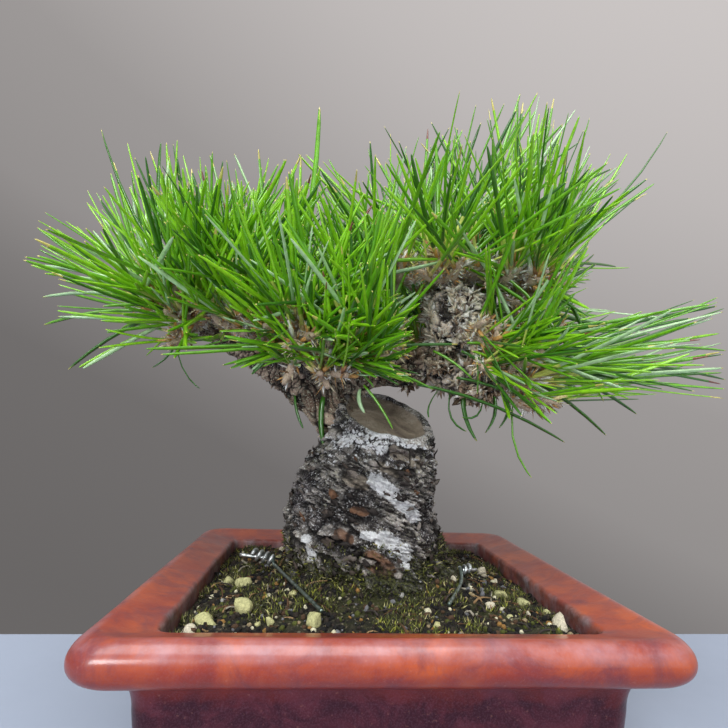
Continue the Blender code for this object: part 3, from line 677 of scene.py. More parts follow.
def earth_finish(settings):
    """Wet soil with moss worked into it."""
    f = Finish("wet_soil", Specular_IOR_Level=0.4)
    dark = [0.35 * value for value in settings.earth]
    base = f.ramp(f.clouds(520, 6, 0.75), (0.36, dark), (0.52, settings.earth), (0.70, (0.10, 0.075, 0.045)))
    green = f.level(f.clouds(75, 4, 0.6, 0.5), 0.48, 0.66, 0, 0.6)
    mossy = f.mix(f.clouds(900, 3), [0.25 * v for v in settings.moss], [0.9 * v for v in settings.moss])
    base = f.mix(green, base, mossy)
    specks = f.level(f.cells(1400, "Color"), 0.78, 0.86, 0, 0.6)
    base = f.mix(specks, base, (0.30, 0.26, 0.17))
    f.relief((f.clouds(420, 6, 0.8), 1.0, 0.0022), (f.cells(1500), 0.5, 0.0005))
    return f.paint(base, f.level(f.clouds(300), 0.35, 0.65, 0.62, 0.95))


def grain_finish(name, shade, roughness=0.85):
    """One of the colours that the grains, stones, scales and flakes are dealt."""
    f = Finish(name, Specular_IOR_Level=0.35)
    fine = f.clouds(1900, 4, 0.7)
    low, high = [0.55 * v for v in shade], [min(1, 1.3 * v + 0.01) for v in shade]
    base = f.ramp(fine, (0.3, low), (0.5, shade), (0.72, high))
    f.relief((f.clouds(1300, 5, 0.8), 0.8, 0.0006))
    return f.paint(base, f.level(fine, 0.3, 0.7, roughness - 0.12, min(1.0, roughness + 0.1)))


def leaf_finish(name, shade, roughness=0.34, waxy=0.6):
    """One of the greens that the needles or moss leaves are dealt."""
    f = Finish(name, Sheen_Weight=0.0, Coat_Weight=waxy, Coat_Roughness=0.22)
    fine = f.clouds(420, 3, 0.6)
    low, high = [0.80 * v for v in shade], [min(1, 1.18 * v) for v in shade]
    base = f.ramp(fine, (0.32, low), (0.68, high))
    f.relief((f.clouds(900, 2, 0.5), 0.05, 0.0002))
    return f.paint(base, f.level(fine, 0.3, 0.7, roughness - 0.06, roughness + 0.08))


def bark_finish(settings, name, warmth, pale):
    """Weathered bark: dark cracks, brown and grey plates, lime, moss and the old cut's bare wood."""
    f = Finish(name, Specular_IOR_Level=0.3)
    fine = f.clouds(330, 6, 0.72)
    coarse = f.clouds(95, 4, 0.6, 0.6)
    tone = f.math("ADD", f.math("MULTIPLY", fine, 0.55), f.math("MULTIPLY", coarse, 0.45))
    plate = f.attribute("plate_tone")
    tone = f.math("ADD", tone, f.level(plate, 0, 1, -0.19, 0.20 + 0.05 * pale))
    middle = [v * w for v, w in zip(settings.middle, warmth)]
    light = [v * (w / warmth[0]) ** 0.5 * (1 + 0.5 * pale) for v, w in zip(settings.light, warmth)]
    base = f.ramp(tone, (0.36, settings.dark), (0.45, middle), (0.56, [0.6 * v for v in light]), (0.68, light))
    plum = f.level(f.clouds(48, 3, 0.5, 0.4), 0.55, 0.66, 0, 0.6 * (1 - pale))
    base = f.mix(plum, base, (0.125, 0.105, 0.120))
    flecks = f.level(f.clouds(1500, 3, 0.6), 0.55, 0.64, 0, 0.7 + 0.3 * pale)
    base = f.mix(flecks, base, [min(1, 2.0 * v) for v in light])
    lichen = f.math("MULTIPLY", f.level(f.clouds(60, 3, 0.6), 0.44, 0.60), f.level(f.clouds(950, 5, 0.8), 0.50, 0.58))
    base = f.mix(f.math("MULTIPLY", lichen, 0.75), base, (0.48, 0.46, 0.33))
    pits = f.level(f.clouds(1150, 4, 0.7), 0.44, 0.34, 0, 0.85)
    base = f.mix(pits, base, settings.dark)
    base = f.mix(f.level(f.attribute("rust"), 0.35, 0.65, 0, 0.9), base, (0.22, 0.11, 0.06))
    base = f.mix(f.level(f.attribute("tan"), 0.35, 0.65, 0, 0.85), base, (0.30, 0.25, 0.19))
    crack = f.level(f.attribute("crack"), 0.05, 0.75, 0.9, 0)
    base = f.mix(crack, base, settings.dark)
    grown = f.math("ADD", f.attribute("moss"), f.level(f.clouds(240, 4, 0.6), 0.3, 0.7, -0.35, 0.35))
    mossy = f.ramp(f.clouds(1200, 4, 0.7), (0.45, (0.006, 0.007, 0.004)), (0.6, (0.09, 0.10, 0.018)))
    base = f.mix(f.level(grown, 0.56, 0.85, 0, 0.8), base, mossy)
    chalk = f.math("ADD", f.attribute("lime"), f.level(f.clouds(620, 6, 0.85), 0.3, 0.7, -0.45, 0.45))
    chalk = f.level(chalk, 0.40, 0.58, 0, 0.95)
    white = f.mix(f.level(fine, 0.35, 0.55), [0.5 * v for v in settings.lime], settings.lime)
    base = f.mix(chalk, base, white)
    # The bare wood of the cut, greyed, with faint rings and stains
    rings = f.clouds(60, 5, 0.6, 1.2)
    wood = f.ramp(rings, (0.30, (0.17, 0.13, 0.10)), (0.50, (0.33, 0.27, 0.20)), (0.72, (0.50, 0.43, 0.35)))
    wood = f.mix(f.level(f.clouds(900, 3), 0.62, 0.72, 0, 0.5), wood, (0.09, 0.07, 0.05))
    bare = f.level(f.attribute("bare"), 0.3, 0.7)
    base = f.mix(bare, base, wood)
    f.relief((f.clouds(700, 6, 0.8), 1.0, 0.0014), (f.cells(900, place=f.stretched((1, 1, 1.6))), 0.4, 0.0006))
    rough = f.level(fine, 0.3, 0.7, 0.78, 0.97)
    return f.paint(base, f.math("SUBTRACT", rough, f.math("MULTIPLY", bare, 0.28)))


def wire_finish(name, dark, middle, light):
    """Galvanised wire, bright or weathered."""
    f = Finish(name, Metallic=0.85)
    tone = f.ramp(f.clouds(650, 4), (0.35, dark), (0.55, middle), (0.75, light))
    f.relief((f.clouds(1800, 3), 0.3, 0.0002))
    return f.paint(tone, f.level(f.clouds(500), 0.3, 0.7, 0.28, 0.5))


# Meshes


def keep_piece(obj, slot, *nodes):
    """Makes the object ride on the one body, and hides the nodes that it stands for; its slot is not used."""
    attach(obj, "root")
    if nodes:
        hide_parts(*nodes)
    return obj


def object_from(bm, name, finishes, smooth=True):
    """A linked object that holds the bmesh, with its faces pointing out."""
    bmesh.ops.recalc_face_normals(bm, faces=bm.faces)
    mesh = bpy.data.meshes.new(name)
    bm.to_mesh(mesh)
    bm.free()
    for finish in finishes:
        mesh.materials.append(finish)
    if smooth:
        mesh.shade_smooth()
    obj = bpy.data.objects.new(name, mesh)
    bpy.context.scene.collection.objects.link(obj)
    return obj


def shell(columns, rows, place):
    """A closed skin: a grid that place wraps round. It gives each vertex's point and its named values."""
    bm = bmesh.new()
    bmesh.ops.create_grid(bm, x_segments=columns, y_segments=rows, size=1)
    flat = np.array([vertex.co for vertex in bm.verts])
    across = np.unique(np.round(flat[:, 0], 6), return_inverse=True)[1]
    along = np.unique(np.round(flat[:, 1], 6), return_inverse=True)[1]
    points, values = place(across.ravel() / across.max(), along.ravel())
    layers = {key: bm.verts.layers.float.new(key) for key in values}
    for i, (vertex, point) in enumerate(zip(bm.verts, points.tolist())):
        vertex.co = point
        for key, layer in layers.items():
            vertex[layer] = values[key][i]
    bmesh.ops.remove_doubles(bm, verts=bm.verts, dist=0.002 * MM)
    bmesh.ops.dissolve_degenerate(bm, edges=bm.edges, dist=0.002 * MM)
    return bm


def joined(name, points, faces, picks, finishes, smooth=False):
    """Many small shapes as one object: points of every shape, the faces of one, and each face's finish."""
    shapes, corners = points.shape[0], points.shape[1]
    steps = (np.arange(shapes) * corners)[:, None, None]
    triangles = (np.asarray(faces)[None] + steps).reshape(-1, 3)
    mesh = bpy.data.meshes.new(name)
    mesh.vertices.add(shapes * corners)
    mesh.vertices.foreach_set("co", points.astype(np.float32).ravel())
    mesh.loops.add(triangles.size)
    mesh.loops.foreach_set("vertex_index", triangles.astype(np.int32).ravel())
    mesh.polygons.add(len(triangles))
    mesh.polygons.foreach_set("loop_start", np.arange(0, triangles.size, 3, dtype=np.int32))
    shades = np.broadcast_to(picks, (shapes, len(faces))) if np.ndim(picks) == 2 else np.repeat(picks, len(faces))
    mesh.polygons.foreach_set("material_index", np.ascontiguousarray(shades, dtype=np.int32).ravel())
    mesh.update(calc_edges=True)
    mesh.validate()
    for finish in finishes:
        mesh.materials.append(finish)
    if smooth:
        mesh.shade_smooth()
    obj = bpy.data.objects.new(name, mesh)
    bpy.context.scene.collection.objects.link(obj)
    return obj


def template(make):
    """The points and triangles of a small shape that make builds in a bmesh."""
    bm = bmesh.new()
    make(bm)
    bmesh.ops.recalc_face_normals(bm, faces=bm.faces)
    bmesh.ops.triangulate(bm, faces=bm.faces)
    bm.verts.index_update()
    points = np.array([vertex.co for vertex in bm.verts])
    faces = np.array([[vertex.index for vertex in face.verts] for face in bm.faces])
    bm.free()
    return points, faces


def tube_mesh(curve):
    """The skin of a round curve, closed."""
    holder = bpy.data.objects.new(curve.name + "_path", curve)
    bpy.context.scene.collection.objects.link(holder)
    bpy.context.view_layer.update()
    graph = bpy.context.evaluated_depsgraph_get()
    mesh = bpy.data.meshes.new_from_object(holder.evaluated_get(graph))
    bm = bmesh.new()
    bm.from_mesh(mesh)
    bpy.data.objects.remove(holder)
    bmesh.ops.remove_doubles(bm, verts=bm.verts, dist=0.001 * MM)
    return bm


def unit(vectors):
    """The vectors with a length of one."""
    return vectors / np.maximum(np.linalg.norm(vectors, axis=-1, keepdims=True), 1e-12)


def frames_along(ways, turns, sizes):
    """For each way, three axes of those sizes, the third along the way, turned about it."""
    ways = unit(ways)
    steep = np.abs(ways[:, 2:]) > 0.9
    first = unit(np.cross(np.where(steep, [[1.0, 0, 0]], [[0, 0, 1.0]]), ways))
    second = np.cross(ways, first)
    c, s = np.cos(turns)[:, None], np.sin(turns)[:, None]
    return np.stack([first * c + second * s, second * c - first * s, ways], 1) * sizes[:, :, None]


def scattered(points, frames, places):
    """A small shape's points, set down in each frame."""
    return np.einsum("vk,nkj->nvj", points, frames) + places[:, None, :]


def noise_at(points, scale, shift=0.0):
    """Smooth noise from about -1 to 1 at each point."""
    return np.array([noise.noise(point) for point in (points * scale + shift).tolist()])


def cells_at(points):
    """For each point, how far its cell's edge is, the cell's own number, and how high in the cell it is."""
    edge, number, rise = [], [], []
    for point in points.tolist():
        distances, centres = noise.voronoi(point)
        middle = centres[0]
        edge.append(distances[1] - distances[0])
        number.append(math.sin(middle[0] * 12.9898 + middle[1] * 78.233 + middle[2] * 37.719) * 43758.5453 % 1)
        rise.append(point[2] - middle[2])
    return np.array(edge), np.array(number), np.array(rise)


def soft_step(values, low, high):
    """A smooth rise from 0 at low to 1 at high."""
    t = np.clip((values - low) / (high - low), 0, 1)
    return t * t * (3 - 2 * t)


def plates(points, seed):
    """Bark plates in a space where a plate is about one wide: height, clear of cracks, and each plate's number."""
    bends = [noise_at(points, 1.1, seed + shift) for shift in (0, 17.3, 31.9)]
    bent = points + 0.42 * np.stack(bends, 1)
    edge, number, rise = cells_at(bent)
    clear = soft_step(edge, 0.02, 0.26)
    height = (0.25 + 0.75 * number - 0.55 * rise) * clear
    return height, clear, number


# Pot


def rounded_squares(along, half, radius):
    """Points round level squares with round corners, from shares of the way round."""
    arc = 0.34
    turn = np.floor(along * 4) % 4
    share = along * 4 - np.floor(along * 4)
    angle = np.clip(share / arc, 0, 1) * math.pi / 2
    straight = np.clip((share - arc) / (1 - arc), 0, 1)
    x = (half - radius) * (1 - 2 * straight) + radius * np.cos(angle)
    y = (half - radius) + radius * np.sin(angle)
    c, s = np.cos(turn * math.pi / 2), np.sin(turn * math.pi / 2)
    return x * c - y * s, x * s + y * c


def pot_profile(pot):
    """Rows of half width, corner radius and height: up the outside, over the lip, and down to the drain."""
    lip_low = pot.height - LIP_DEPTH
    lip_middle = pot.height - LIP_DEPTH / 2
    foot_inner = BODY_HALF_FOOT - FOOT_DEPTH
    rows = [
        (DRAIN_RADIUS + 0.6 * MM, DRAIN_RADIUS + 0.6 * MM, FOOT_HEIGHT),
        (foot_inner * 0.5, 8 * MM, FOOT_HEIGHT),
        (foot_inner - 1 * MM, 5 * MM, FOOT_HEIGHT),
        (foot_inner, 5 * MM, FOOT_HEIGHT - 0.6 * MM),
        (foot_inner, 5 * MM, 1.0 * MM),
        (foot_inner + 0.8 * MM, 5 * MM, 0),
        (BODY_HALF_FOOT - FOOT_EDGE, BODY_CORNER, 0),
        (BODY_HALF_FOOT - 0.3 * MM, BODY_CORNER, 0.3 * MM),
        (BODY_HALF_FOOT, BODY_CORNER, FOOT_EDGE),
    ]
    for i in range(1, 9):
        t = i / 8
        z = FOOT_EDGE + (BODY_SWELL_Z - FOOT_EDGE) * t
        rows.append((BODY_HALF_FOOT + (BODY_HALF_TOP - FOOT_EDGE - BODY_HALF_FOOT) * t, BODY_CORNER, z))
    for i in range(1, 5):
        t = i / 4
        rows.append((BODY_HALF_TOP - FOOT_EDGE * (1 - t), BODY_CORNER, BODY_SWELL_Z + (COVE_Z - BODY_SWELL_Z) * t))
    for i in range(1, 11):
        a = math.radians(90 * i / 10)
        out = (1 - math.cos(a)) * COVE_REACH
        rows.append((BODY_HALF_TOP + out, BODY_CORNER, COVE_Z + math.sin(a) * (lip_low - COVE_Z)))
    for i in range(25):
        a = math.radians(-90 + 180 * i / 24)
        half = pot.rim_half - LIP_ROLL + math.cos(a) * (LIP_ROLL + LIP_BULGE)
        rows.append((half, LIP_CORNER, lip_middle + math.sin(a) * LIP_DEPTH / 2))
    inner = pot.rim_half - RIM_TOP_WIDTH
    inner_z = pot.height - RIM_SLOPE
    outer = pot.rim_half - LIP_ROLL
    for i in range(1, 7):
        t = i / 7
        half = outer + (inner + RIM_SLOPE / 2 - outer) * t
        z = pot.height + (inner_z + RIM_SLOPE / 12 - pot.height) * t
        rows.append((half, LIP_CORNER + (INNER_CORNER + RIM_SLOPE / 2 - LIP_CORNER) * t, z))
    for i in range(6):
        a = math.radians(90 * i / 5)
        half = inner + RIM_SLOPE / 2 * (1 - math.sin(a))
        rows.append((half, INNER_CORNER + half - inner, inner_z + RIM_SLOPE / 12 - RIM_SLOPE * 0.6 * (1 - math.cos(a))))
    floor_z = FOOT_HEIGHT + FLOOR_THICKNESS
    lip_z = inner_z - INNER_LIP_DEPTH
    for i in range(1, 6):
        rows.append((inner, INNER_CORNER, inner_z - RIM_SLOPE / 2 + (lip_z - inner_z + RIM_SLOPE / 2) * i / 5))
    rows += [
        (BODY_HALF_FOOT - WALL, INNER_CORNER, floor_z + FLOOR_HOLLOW),
        (BODY_HALF_FOOT - WALL - FLOOR_HOLLOW / 4, INNER_CORNER, floor_z + FLOOR_HOLLOW / 4),
        (BODY_HALF_FOOT - WALL - FLOOR_HOLLOW / 2, INNER_CORNER, floor_z),
        (30 * MM, 12 * MM, floor_z),
        (DRAIN_RADIUS + 0.6 * MM, DRAIN_RADIUS + 0.6 * MM, floor_z),
        (DRAIN_RADIUS, DRAIN_RADIUS, floor_z - 0.6 * MM),
        (DRAIN_RADIUS, DRAIN_RADIUS, FOOT_HEIGHT + 0.6 * MM),
    ]
    return np.array(rows + rows[:1])


def carve(obj, cutters):
    """Cuts the boxes away from the object, and removes them."""
    for cutter in cutters:
        boolean = obj.modifiers.new("arch", "BOOLEAN")
        boolean.operation = "DIFFERENCE"
        boolean.solver = "EXACT"
        boolean.object = cutter
    bpy.context.view_layer.update()
    graph = bpy.context.evaluated_depsgraph_get()
    mesh = bpy.data.meshes.new_from_object(obj.evaluated_get(graph))
    obj.modifiers.clear()
    obj.data = mesh
    for cutter in cutters:
        bpy.data.objects.remove(cutter)


def arch_cutter(name, size):
    """A box with round upper edges that leaves the feet standing."""
    bm = bmesh.new()
    bmesh.ops.create_cube(bm, size=1)
    bmesh.ops.scale(bm, vec=size, verts=bm.verts)
    bmesh.ops.translate(bm, vec=(0, 0, FOOT_HEIGHT - size[2] / 2), verts=bm.verts)
    long_way = 0 if size[0] > size[1] else 1
    edges = [
        edge
        for edge in bm.edges
        if all(v.co.z > 0 for v in edge.verts) and abs(edge.verts[0].co[long_way] - edge.verts[1].co[long_way]) > MM
    ]
    bmesh.ops.bevel(
        bm, geom=edges, offset=3.2 * MM, segments=6, profile=0.5, affect="EDGES", material=-1, clamp_overlap=True
    )
    return object_from(bm, name, [])


class BONSAI_OT_pot(bpy.types.Operator):
    """Build the glazed square pot"""

    bl_idname = "bonsai.pot"
    bl_label = "Pot"

    def execute(self, context):
        pot = context.scene.bonsai_pot
        profile = pot_profile(pot)

        def place(around, row):
            half, radius, z = (profile[row, k] for k in range(3))
            x, y = rounded_squares(around, half, radius)
            points = np.stack([x, y, z], 1)
            free = soft_step(z, 8 * MM, 20 * MM)[:, None] * pot.unevenness
            for axis in range(3):
                points[:, axis] += free[:, 0] * noise_at(points, 28, 7 * axis) * (0.5 if axis == 2 else 1)
            return points, {}

        obj = object_from(shell(4 * 34, len(profile) - 1, place), "pot_glazed", [])
        across = 2 * BODY_HALF_FOOT + 10 * MM
        tall = FOOT_HEIGHT + 4 * MM
        carve(
            obj,
            [
                arch_cutter("arch_x", (FOOT_ARCH_WIDTH, across, tall)),
                arch_cutter("arch_y", (across, FOOT_ARCH_WIDTH, tall)),
            ],
        )
        obj.data.materials.clear()
        obj.data.materials.append(glaze_finish(pot, "rim_glaze", 0.4, 0.35))
        obj.data.materials.append(glaze_finish(pot, "wall_glaze", 0.12, 0.2))
        for face in obj.data.polygons:
            face.material_index = int(face.center.z < pot.height - LIP_DEPTH)
        obj.data.shade_smooth()
        obj.data.set_sharp_from_angle(angle=math.radians(48))
        keep_piece(obj, "pot_clay", "pot")
        return {"FINISHED"}


class BONSAI_OT_screen(bpy.types.Operator):
    """Build the plastic mesh over the drain hole"""

    bl_idname = "bonsai.screen"
    bl_label = "Drain screen"

    def execute(self, context):
        low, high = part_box("drain_screen")
        bm = bmesh.new()
        bmesh.ops.create_grid(bm, x_segments=SCREEN_CELLS, y_segments=SCREEN_CELLS, size=SCREEN_HALF - 0.4 * MM)
        bmesh.ops.translate(bm, vec=(0, 0, (low.z + high.z) / 2), verts=bm.verts)
        bmesh.ops.wireframe(bm, faces=bm.faces, thickness=(high.z - low.z) * 0.9, use_boundary=True, use_replace=True)
        keep_piece(object_from(bm, "screen_mesh", [screen_finish()], False), "screen", "drain_screen")
        return {"FINISHED"}


# Ground


def inner_half(pot):
    """Half the width inside the pot's rim."""
    return pot.rim_half - RIM_TOP_WIDTH


def trunk_station(z):
    """The trunk's middle and half width at heights."""
    table = np.array(TRUNK_STATIONS) * MM
    return np.interp(z, table[:, 0], table[:, 1]), np.interp(z, table[:, 0], table[:, 2])


def ground_height(places, edge):
    """The soil's top at places in the pot: the solid's mound, with small heaps and a rise at the trunk."""
    x, y = places[:, 0], places[:, 1]
    out = np.minimum(1, np.maximum(np.abs(x), np.abs(y)) / edge)
    flat = np.stack([x, y, np.zeros(len(x))], 1)
    height = SOIL_EDGE_Z + SOIL_MOUND * (0.5 + 0.5 * np.cos(math.pi * out))
    height += noise_at(flat, 90) * SOIL_ROUGHNESS
    height += noise_at(flat, 240, 5) * 0.55 * MM + noise_at(flat, 700, 9) * 0.32 * MM
    height += noise_at(flat, 130, 11) * 0.9 * MM * (1 - out)**0.5
    height -= 2.6 * MM * soft_step(out, 0.84, 0.99)
    middle, half = trunk_station(56 * MM)
    gap = np.hypot(x - middle, y / TRUNK_DEPTH_SHARE) - half
    height += 3.4 * MM * np.exp(-np.maximum(gap, 0) / (6 * MM)) * (0.75 + 0.6 * noise_at(flat, 120, 3))
    return height


def random_places(rng, count, edge):
    """Places spread over the soil, outside the trunk."""
    middle, half = trunk_station(56 * MM)
    places = rng.uniform(-edge, edge, (count * 2, 2))
    gap = np.hypot(places[:, 0] - middle, places[:, 1] / TRUNK_DEPTH_SHARE) - half
    return places[gap > -1 * MM][:count]


class BONSAI_OT_ground(bpy.types.Operator):
    """Build the soil, its grains and stones, and the moss"""

    bl_idname = "bonsai.ground"
    bl_label = "Soil and moss"

    def execute(self, context):
        pot, soil = context.scene.bonsai_pot, context.scene.bonsai_soil
        edge = inner_half(pot) - 0.25 * MM
        self.make_bed(soil, edge)
        rng = np.random.default_rng(11)
        self.make_grit(soil, edge, rng)
        self.make_stones(soil, edge, rng)
        self.make_moss(soil, edge, rng)
        self.make_litter(edge, rng)
        return {"FINISHED"}

    def make_bed(self, soil, edge):
        """The root ball, with a fine top."""
        bm = bmesh.new()
        bmesh.ops.create_grid(bm, x_segments=170, y_segments=170, size=edge)
        rim = [item for item in bm.edges if item.is_boundary]
        top = list(bm.verts)
        for vertex in bm.verts:
            if min(abs(vertex.co.x), abs(vertex.co.y)) > edge - 1.5 * MM:
                vertex.co.x -= math.copysign(0.9 * MM, vertex.co.x)
                vertex.co.y -= math.copysign(0.9 * MM, vertex.co.y)
        heights = ground_height(np.array([vertex.co[:2] for vertex in top]), edge)
        floor_z = FOOT_HEIGHT + FLOOR_THICKNESS
        width = edge
        levels = (
            (SOIL_EDGE_Z - INNER_LIP_DEPTH, edge - 0.3 * MM),
            (floor_z + FLOOR_HOLLOW, BODY_HALF_FOOT - WALL - 0.5 * MM),
            (floor_z + 1.4 * MM, BODY_HALF_FOOT - WALL - FLOOR_HOLLOW / 2 - 0.5 * MM),
        )
        for z, next_width in levels:
            made = bmesh.ops.extrude_edge_only(bm, edges=rim)["geom"]
            rim = [item for item in made if isinstance(item, bmesh.types.BMEdge)]
            ring = [item for item in made if isinstance(item, bmesh.types.BMVert)]
            bmesh.ops.scale(bm, vec=(next_width / width, next_width / width, 1), verts=ring)
            for vertex in ring:
                vertex.co.z = z
            width = next_width
        bmesh.ops.holes_fill(bm, edges=rim, sides=0)
        for vertex, height in zip(top, heights):
            vertex.co.z = height
        keep_piece(object_from(bm, "soil_bed", [earth_finish(soil)]), "soil", "soil")

    def make_grit(self, soil, edge, rng):
        """Loose grains of several colours."""
        points, faces = template(lambda bm: bmesh.ops.create_icosphere(bm, subdivisions=1, radius=1))
        shades = {
            "black": ((0.006, 0.005, 0.005), 34),
            "umber": ((0.022, 0.015, 0.010), 24),
            "brown": ((0.075, 0.040, 0.020), 14),
            "olive": ((0.075, 0.085, 0.014), 11),
            "ochre": ((0.28, 0.15, 0.04), 4),
            "tan": ((0.30, 0.23, 0.13), 4),
            "pale": ((0.62, 0.58, 0.40), 4),
            "grey": ((0.16, 0.16, 0.17), 5),
        }
        places = random_places(rng, soil.grit_count, edge - 0.6 * MM)
        count = len(places)
        size = (0.35 + 0.75 * rng.random(count) ** 2.2) * MM
        z = ground_height(places, edge) + size * 0.2
        spots = np.column_stack([places, z])
        sizes = size[:, None] * rng.uniform(0.65, 1.3, (count, 3))
        frames = frames_along(rng.normal(size=(count, 3)), rng.uniform(0, 6.3, count), sizes)
        shape = scattered(points, frames, spots) + rng.normal(scale=0.07 * MM, size=(count, len(points), 3))
        weights = np.array([weight for _, weight in shades.values()], float)
        picks = rng.choice(len(shades), count, p=weights / weights.sum())
        finishes = [grain_finish(f"grit_{key}", shade) for key, (shade, _) in shades.items()]
        keep_piece(joined("soil_grit", shape, faces, picks, finishes), "soil")

    def make_stones(self, soil, edge, rng):
        """Pale pumice stones, half sunk."""
        points, faces = template(lambda bm: bmesh.ops.create_icosphere(bm, subdivisions=2, radius=1))
        named = np.array(PUMICE) * MM
        strewn = random_places(rng, 26, edge - 4 * MM)
        places = np.vstack([named[:, :2], strewn])
        size = np.concatenate([named[:, 2] * 0.68, rng.uniform(0.8, 1.5, len(strewn)) * MM])
        count = len(places)
        spots = np.column_stack([places, ground_height(places, edge) + size * 0.3])
        sizes = size[:, None] * rng.uniform(0.75, 1.2, (count, 3))
        frames = frames_along(rng.normal(size=(count, 3)), rng.uniform(0, 6.3, count), sizes)
        stones = np.repeat(points[None], count, 0)
        for _ in range(9):
            cut = unit(rng.normal(size=(count, 1, 3)))
            beyond = (stones * cut).sum(2, keepdims=True) - rng.uniform(0.45, 0.8, (count, 1, 1))
            stones -= cut * np.maximum(beyond, 0)
        shape = np.einsum("nvk,nkj->nvj", stones, frames) + spots[:, None, :]
        flat = shape.reshape(-1, 3)
        bumps = (noise_at(flat, 420, 2) * 0.32 + noise_at(flat, 1100, 4) * 0.14).reshape(count, -1, 1)
        shape += (shape - spots[:, None]) * bumps
        finishes = [
            grain_finish("pumice_green", [0.85 * v for v in soil.stone], 0.9),
            grain_finish("pumice_cream", (0.62, 0.56, 0.42), 0.9),
            grain_finish("stone_grey", (0.30, 0.29, 0.27), 0.8),
        ]
        picks = rng.choice(3, count, p=(0.5, 0.35, 0.15))
        keep_piece(joined("soil_stones", shape, faces, picks, finishes, True), "soil")

    def make_moss(self, soil, edge, rng):
        """Moss leaves in patches, thickest at the trunk, where they climb its foot."""
        points, faces = template(lambda bm: self.blade(bm))
        places = random_places(rng, soil.moss_count * 3, edge - 0.4 * MM)
        flat = np.column_stack([places, np.zeros(len(places))])
        patch = 1.2 * noise_at(flat, 75, 21) + 0.9 * noise_at(flat, 230, 33)
        middle, half = trunk_station(56 * MM)
        gap = np.hypot(places[:, 0] - middle, places[:, 1] / TRUNK_DEPTH_SHARE) - half
        patch += 0.5 * np.exp(-np.maximum(gap, 0) / (7 * MM))
        places = places[patch > rng.normal(0.28, 0.12, len(patch))][: soil.moss_count]
        spots = np.column_stack([places, ground_height(places, edge) - 0.1 * MM])
        ways = rng.normal(scale=0.55, size=(len(spots), 3)) + (0, 0, 1)
        angle = rng.uniform(0, 2 * math.pi, 5200)
        z = (57 + 13 * rng.random(5200) ** 2.4) * MM
        keep = noise_at(np.column_stack([np.cos(angle) * 2, np.sin(angle) * 2, z * 160]), 1, 4) > rng.normal(
            -0.02, 0.2, len(z)
        )
        skin = trunk_skin(angle[keep], z[keep])
        out = np.column_stack([np.cos(angle[keep]), np.sin(angle[keep]), np.full(keep.sum(), 0.5)])
        spots = np.vstack([spots, skin])
        ways = np.vstack([ways, out + rng.normal(scale=0.5, size=out.shape)])
        count = len(spots)
        tall = (0.7 + 2.2 * rng.random(count) ** 1.8) * MM
        wide = rng.uniform(0.18, 0.34, count) * MM
        frames = frames_along(ways, rng.uniform(0, 6.3, count), np.column_stack([wide, wide, tall]))
        shades = [soil.moss, [0.3 * v for v in soil.moss], (0.28, 0.29, 0.035), (0.035, 0.024, 0.012), (0.46, 0.42, 0.18)]
        finishes = [leaf_finish(f"moss_{i}", shade, 0.7, 0.0) for i, shade in enumerate(shades)]
        picks = rng.choice(len(shades), count, p=(0.23, 0.36, 0.07, 0.29, 0.05))
        keep_piece(joined("moss", scattered(points, frames, spots), faces, picks, finishes), "soil")

    def blade(self, bm):
        """A three-sided pointed leaf."""
        bmesh.ops.create_cone(bm, cap_ends=True, segments=3, radius1=1, radius2=0.0, depth=1)
        bmesh.ops.translate(bm, vec=(0, 0, 0.5), verts=bm.verts)
        bmesh.ops.remove_doubles(bm, verts=bm.verts, dist=1e-4)

    def make_litter(self, edge, rng):
        """Dead needle ends and root threads that lie on the soil."""
        points, faces = template(lambda bm: self.stick(bm))
        places = random_places(rng, 190, edge - 5 * MM)
        count = len(places)
        turn = rng.uniform(0, 2 * math.pi, count)
        ways = np.column_stack([np.cos(turn), np.sin(turn), rng.normal(0.02, 0.16, count)])
        long_ = rng.uniform(2, 8, count) * MM
        thin = rng.uniform(0.2, 0.42, count) * MM
        spots = np.column_stack([places, ground_height(places, edge) + 0.5 * MM]) - ways * long_[:, None] / 2
        frames = frames_along(ways, turn, np.column_stack([thin, thin, long_]))
        shades = ((0.10, 0.05, 0.022), (0.30, 0.19, 0.09), (0.045, 0.035, 0.03), (0.40, 0.36, 0.28))
        finishes = [grain_finish(f"litter_{i}", shade) for i, shade in enumerate(shades)]
        picks = rng.choice(4, count, p=(0.4, 0.22, 0.28, 0.10))
        keep_piece(joined("litter", scattered(points, frames, spots), faces, picks, finishes), "soil")

    def stick(self, bm):
        """A slim bent stick."""
        bmesh.ops.create_cone(bm, cap_ends=True, segments=5, radius1=1, radius2=0.55, depth=1)
        bmesh.ops.translate(bm, vec=(0, 0, 0.5), verts=bm.verts)
        sides = [edge for edge in bm.edges if abs(edge.verts[0].co.z - edge.verts[1].co.z) > 0.5]
        bmesh.ops.subdivide_edges(bm, edges=sides, cuts=2, use_grid_fill=True)
        for vertex in bm.verts:
            vertex.co.x += 2.6 * math.sin(vertex.co.z * math.pi)


# Trunk


def trunk_skin(angle, z):
    """Points of the solid trunk's skin."""
    middle, half = trunk_station(z)
    foot = TRUNK_STATIONS[0][0] * MM
    flare = ROOT_FLARE * np.exp(-(z - foot) / (7 * MM))
    lobes = np.cos(ROOT_COUNT * angle + 0.6) + 0.4 * np.sin(3 * angle)
    way = np.stack([np.cos(angle), np.sin(angle) * TRUNK_DEPTH_SHARE, np.zeros(len(angle))], 1)
    spot = way * half[:, None] + np.stack([middle, np.zeros(len(z)), z], 1)
    rough = noise_at(spot * (1, 1, 2.2), 75) + 0.6 * noise_at(spot * (1, 1, 1.6), 190)
    radius = half * (1 + flare * lobes) + BARK_RELIEF * rough
    return way * radius[:, None] + np.stack([middle, np.zeros(len(z)), z], 1)


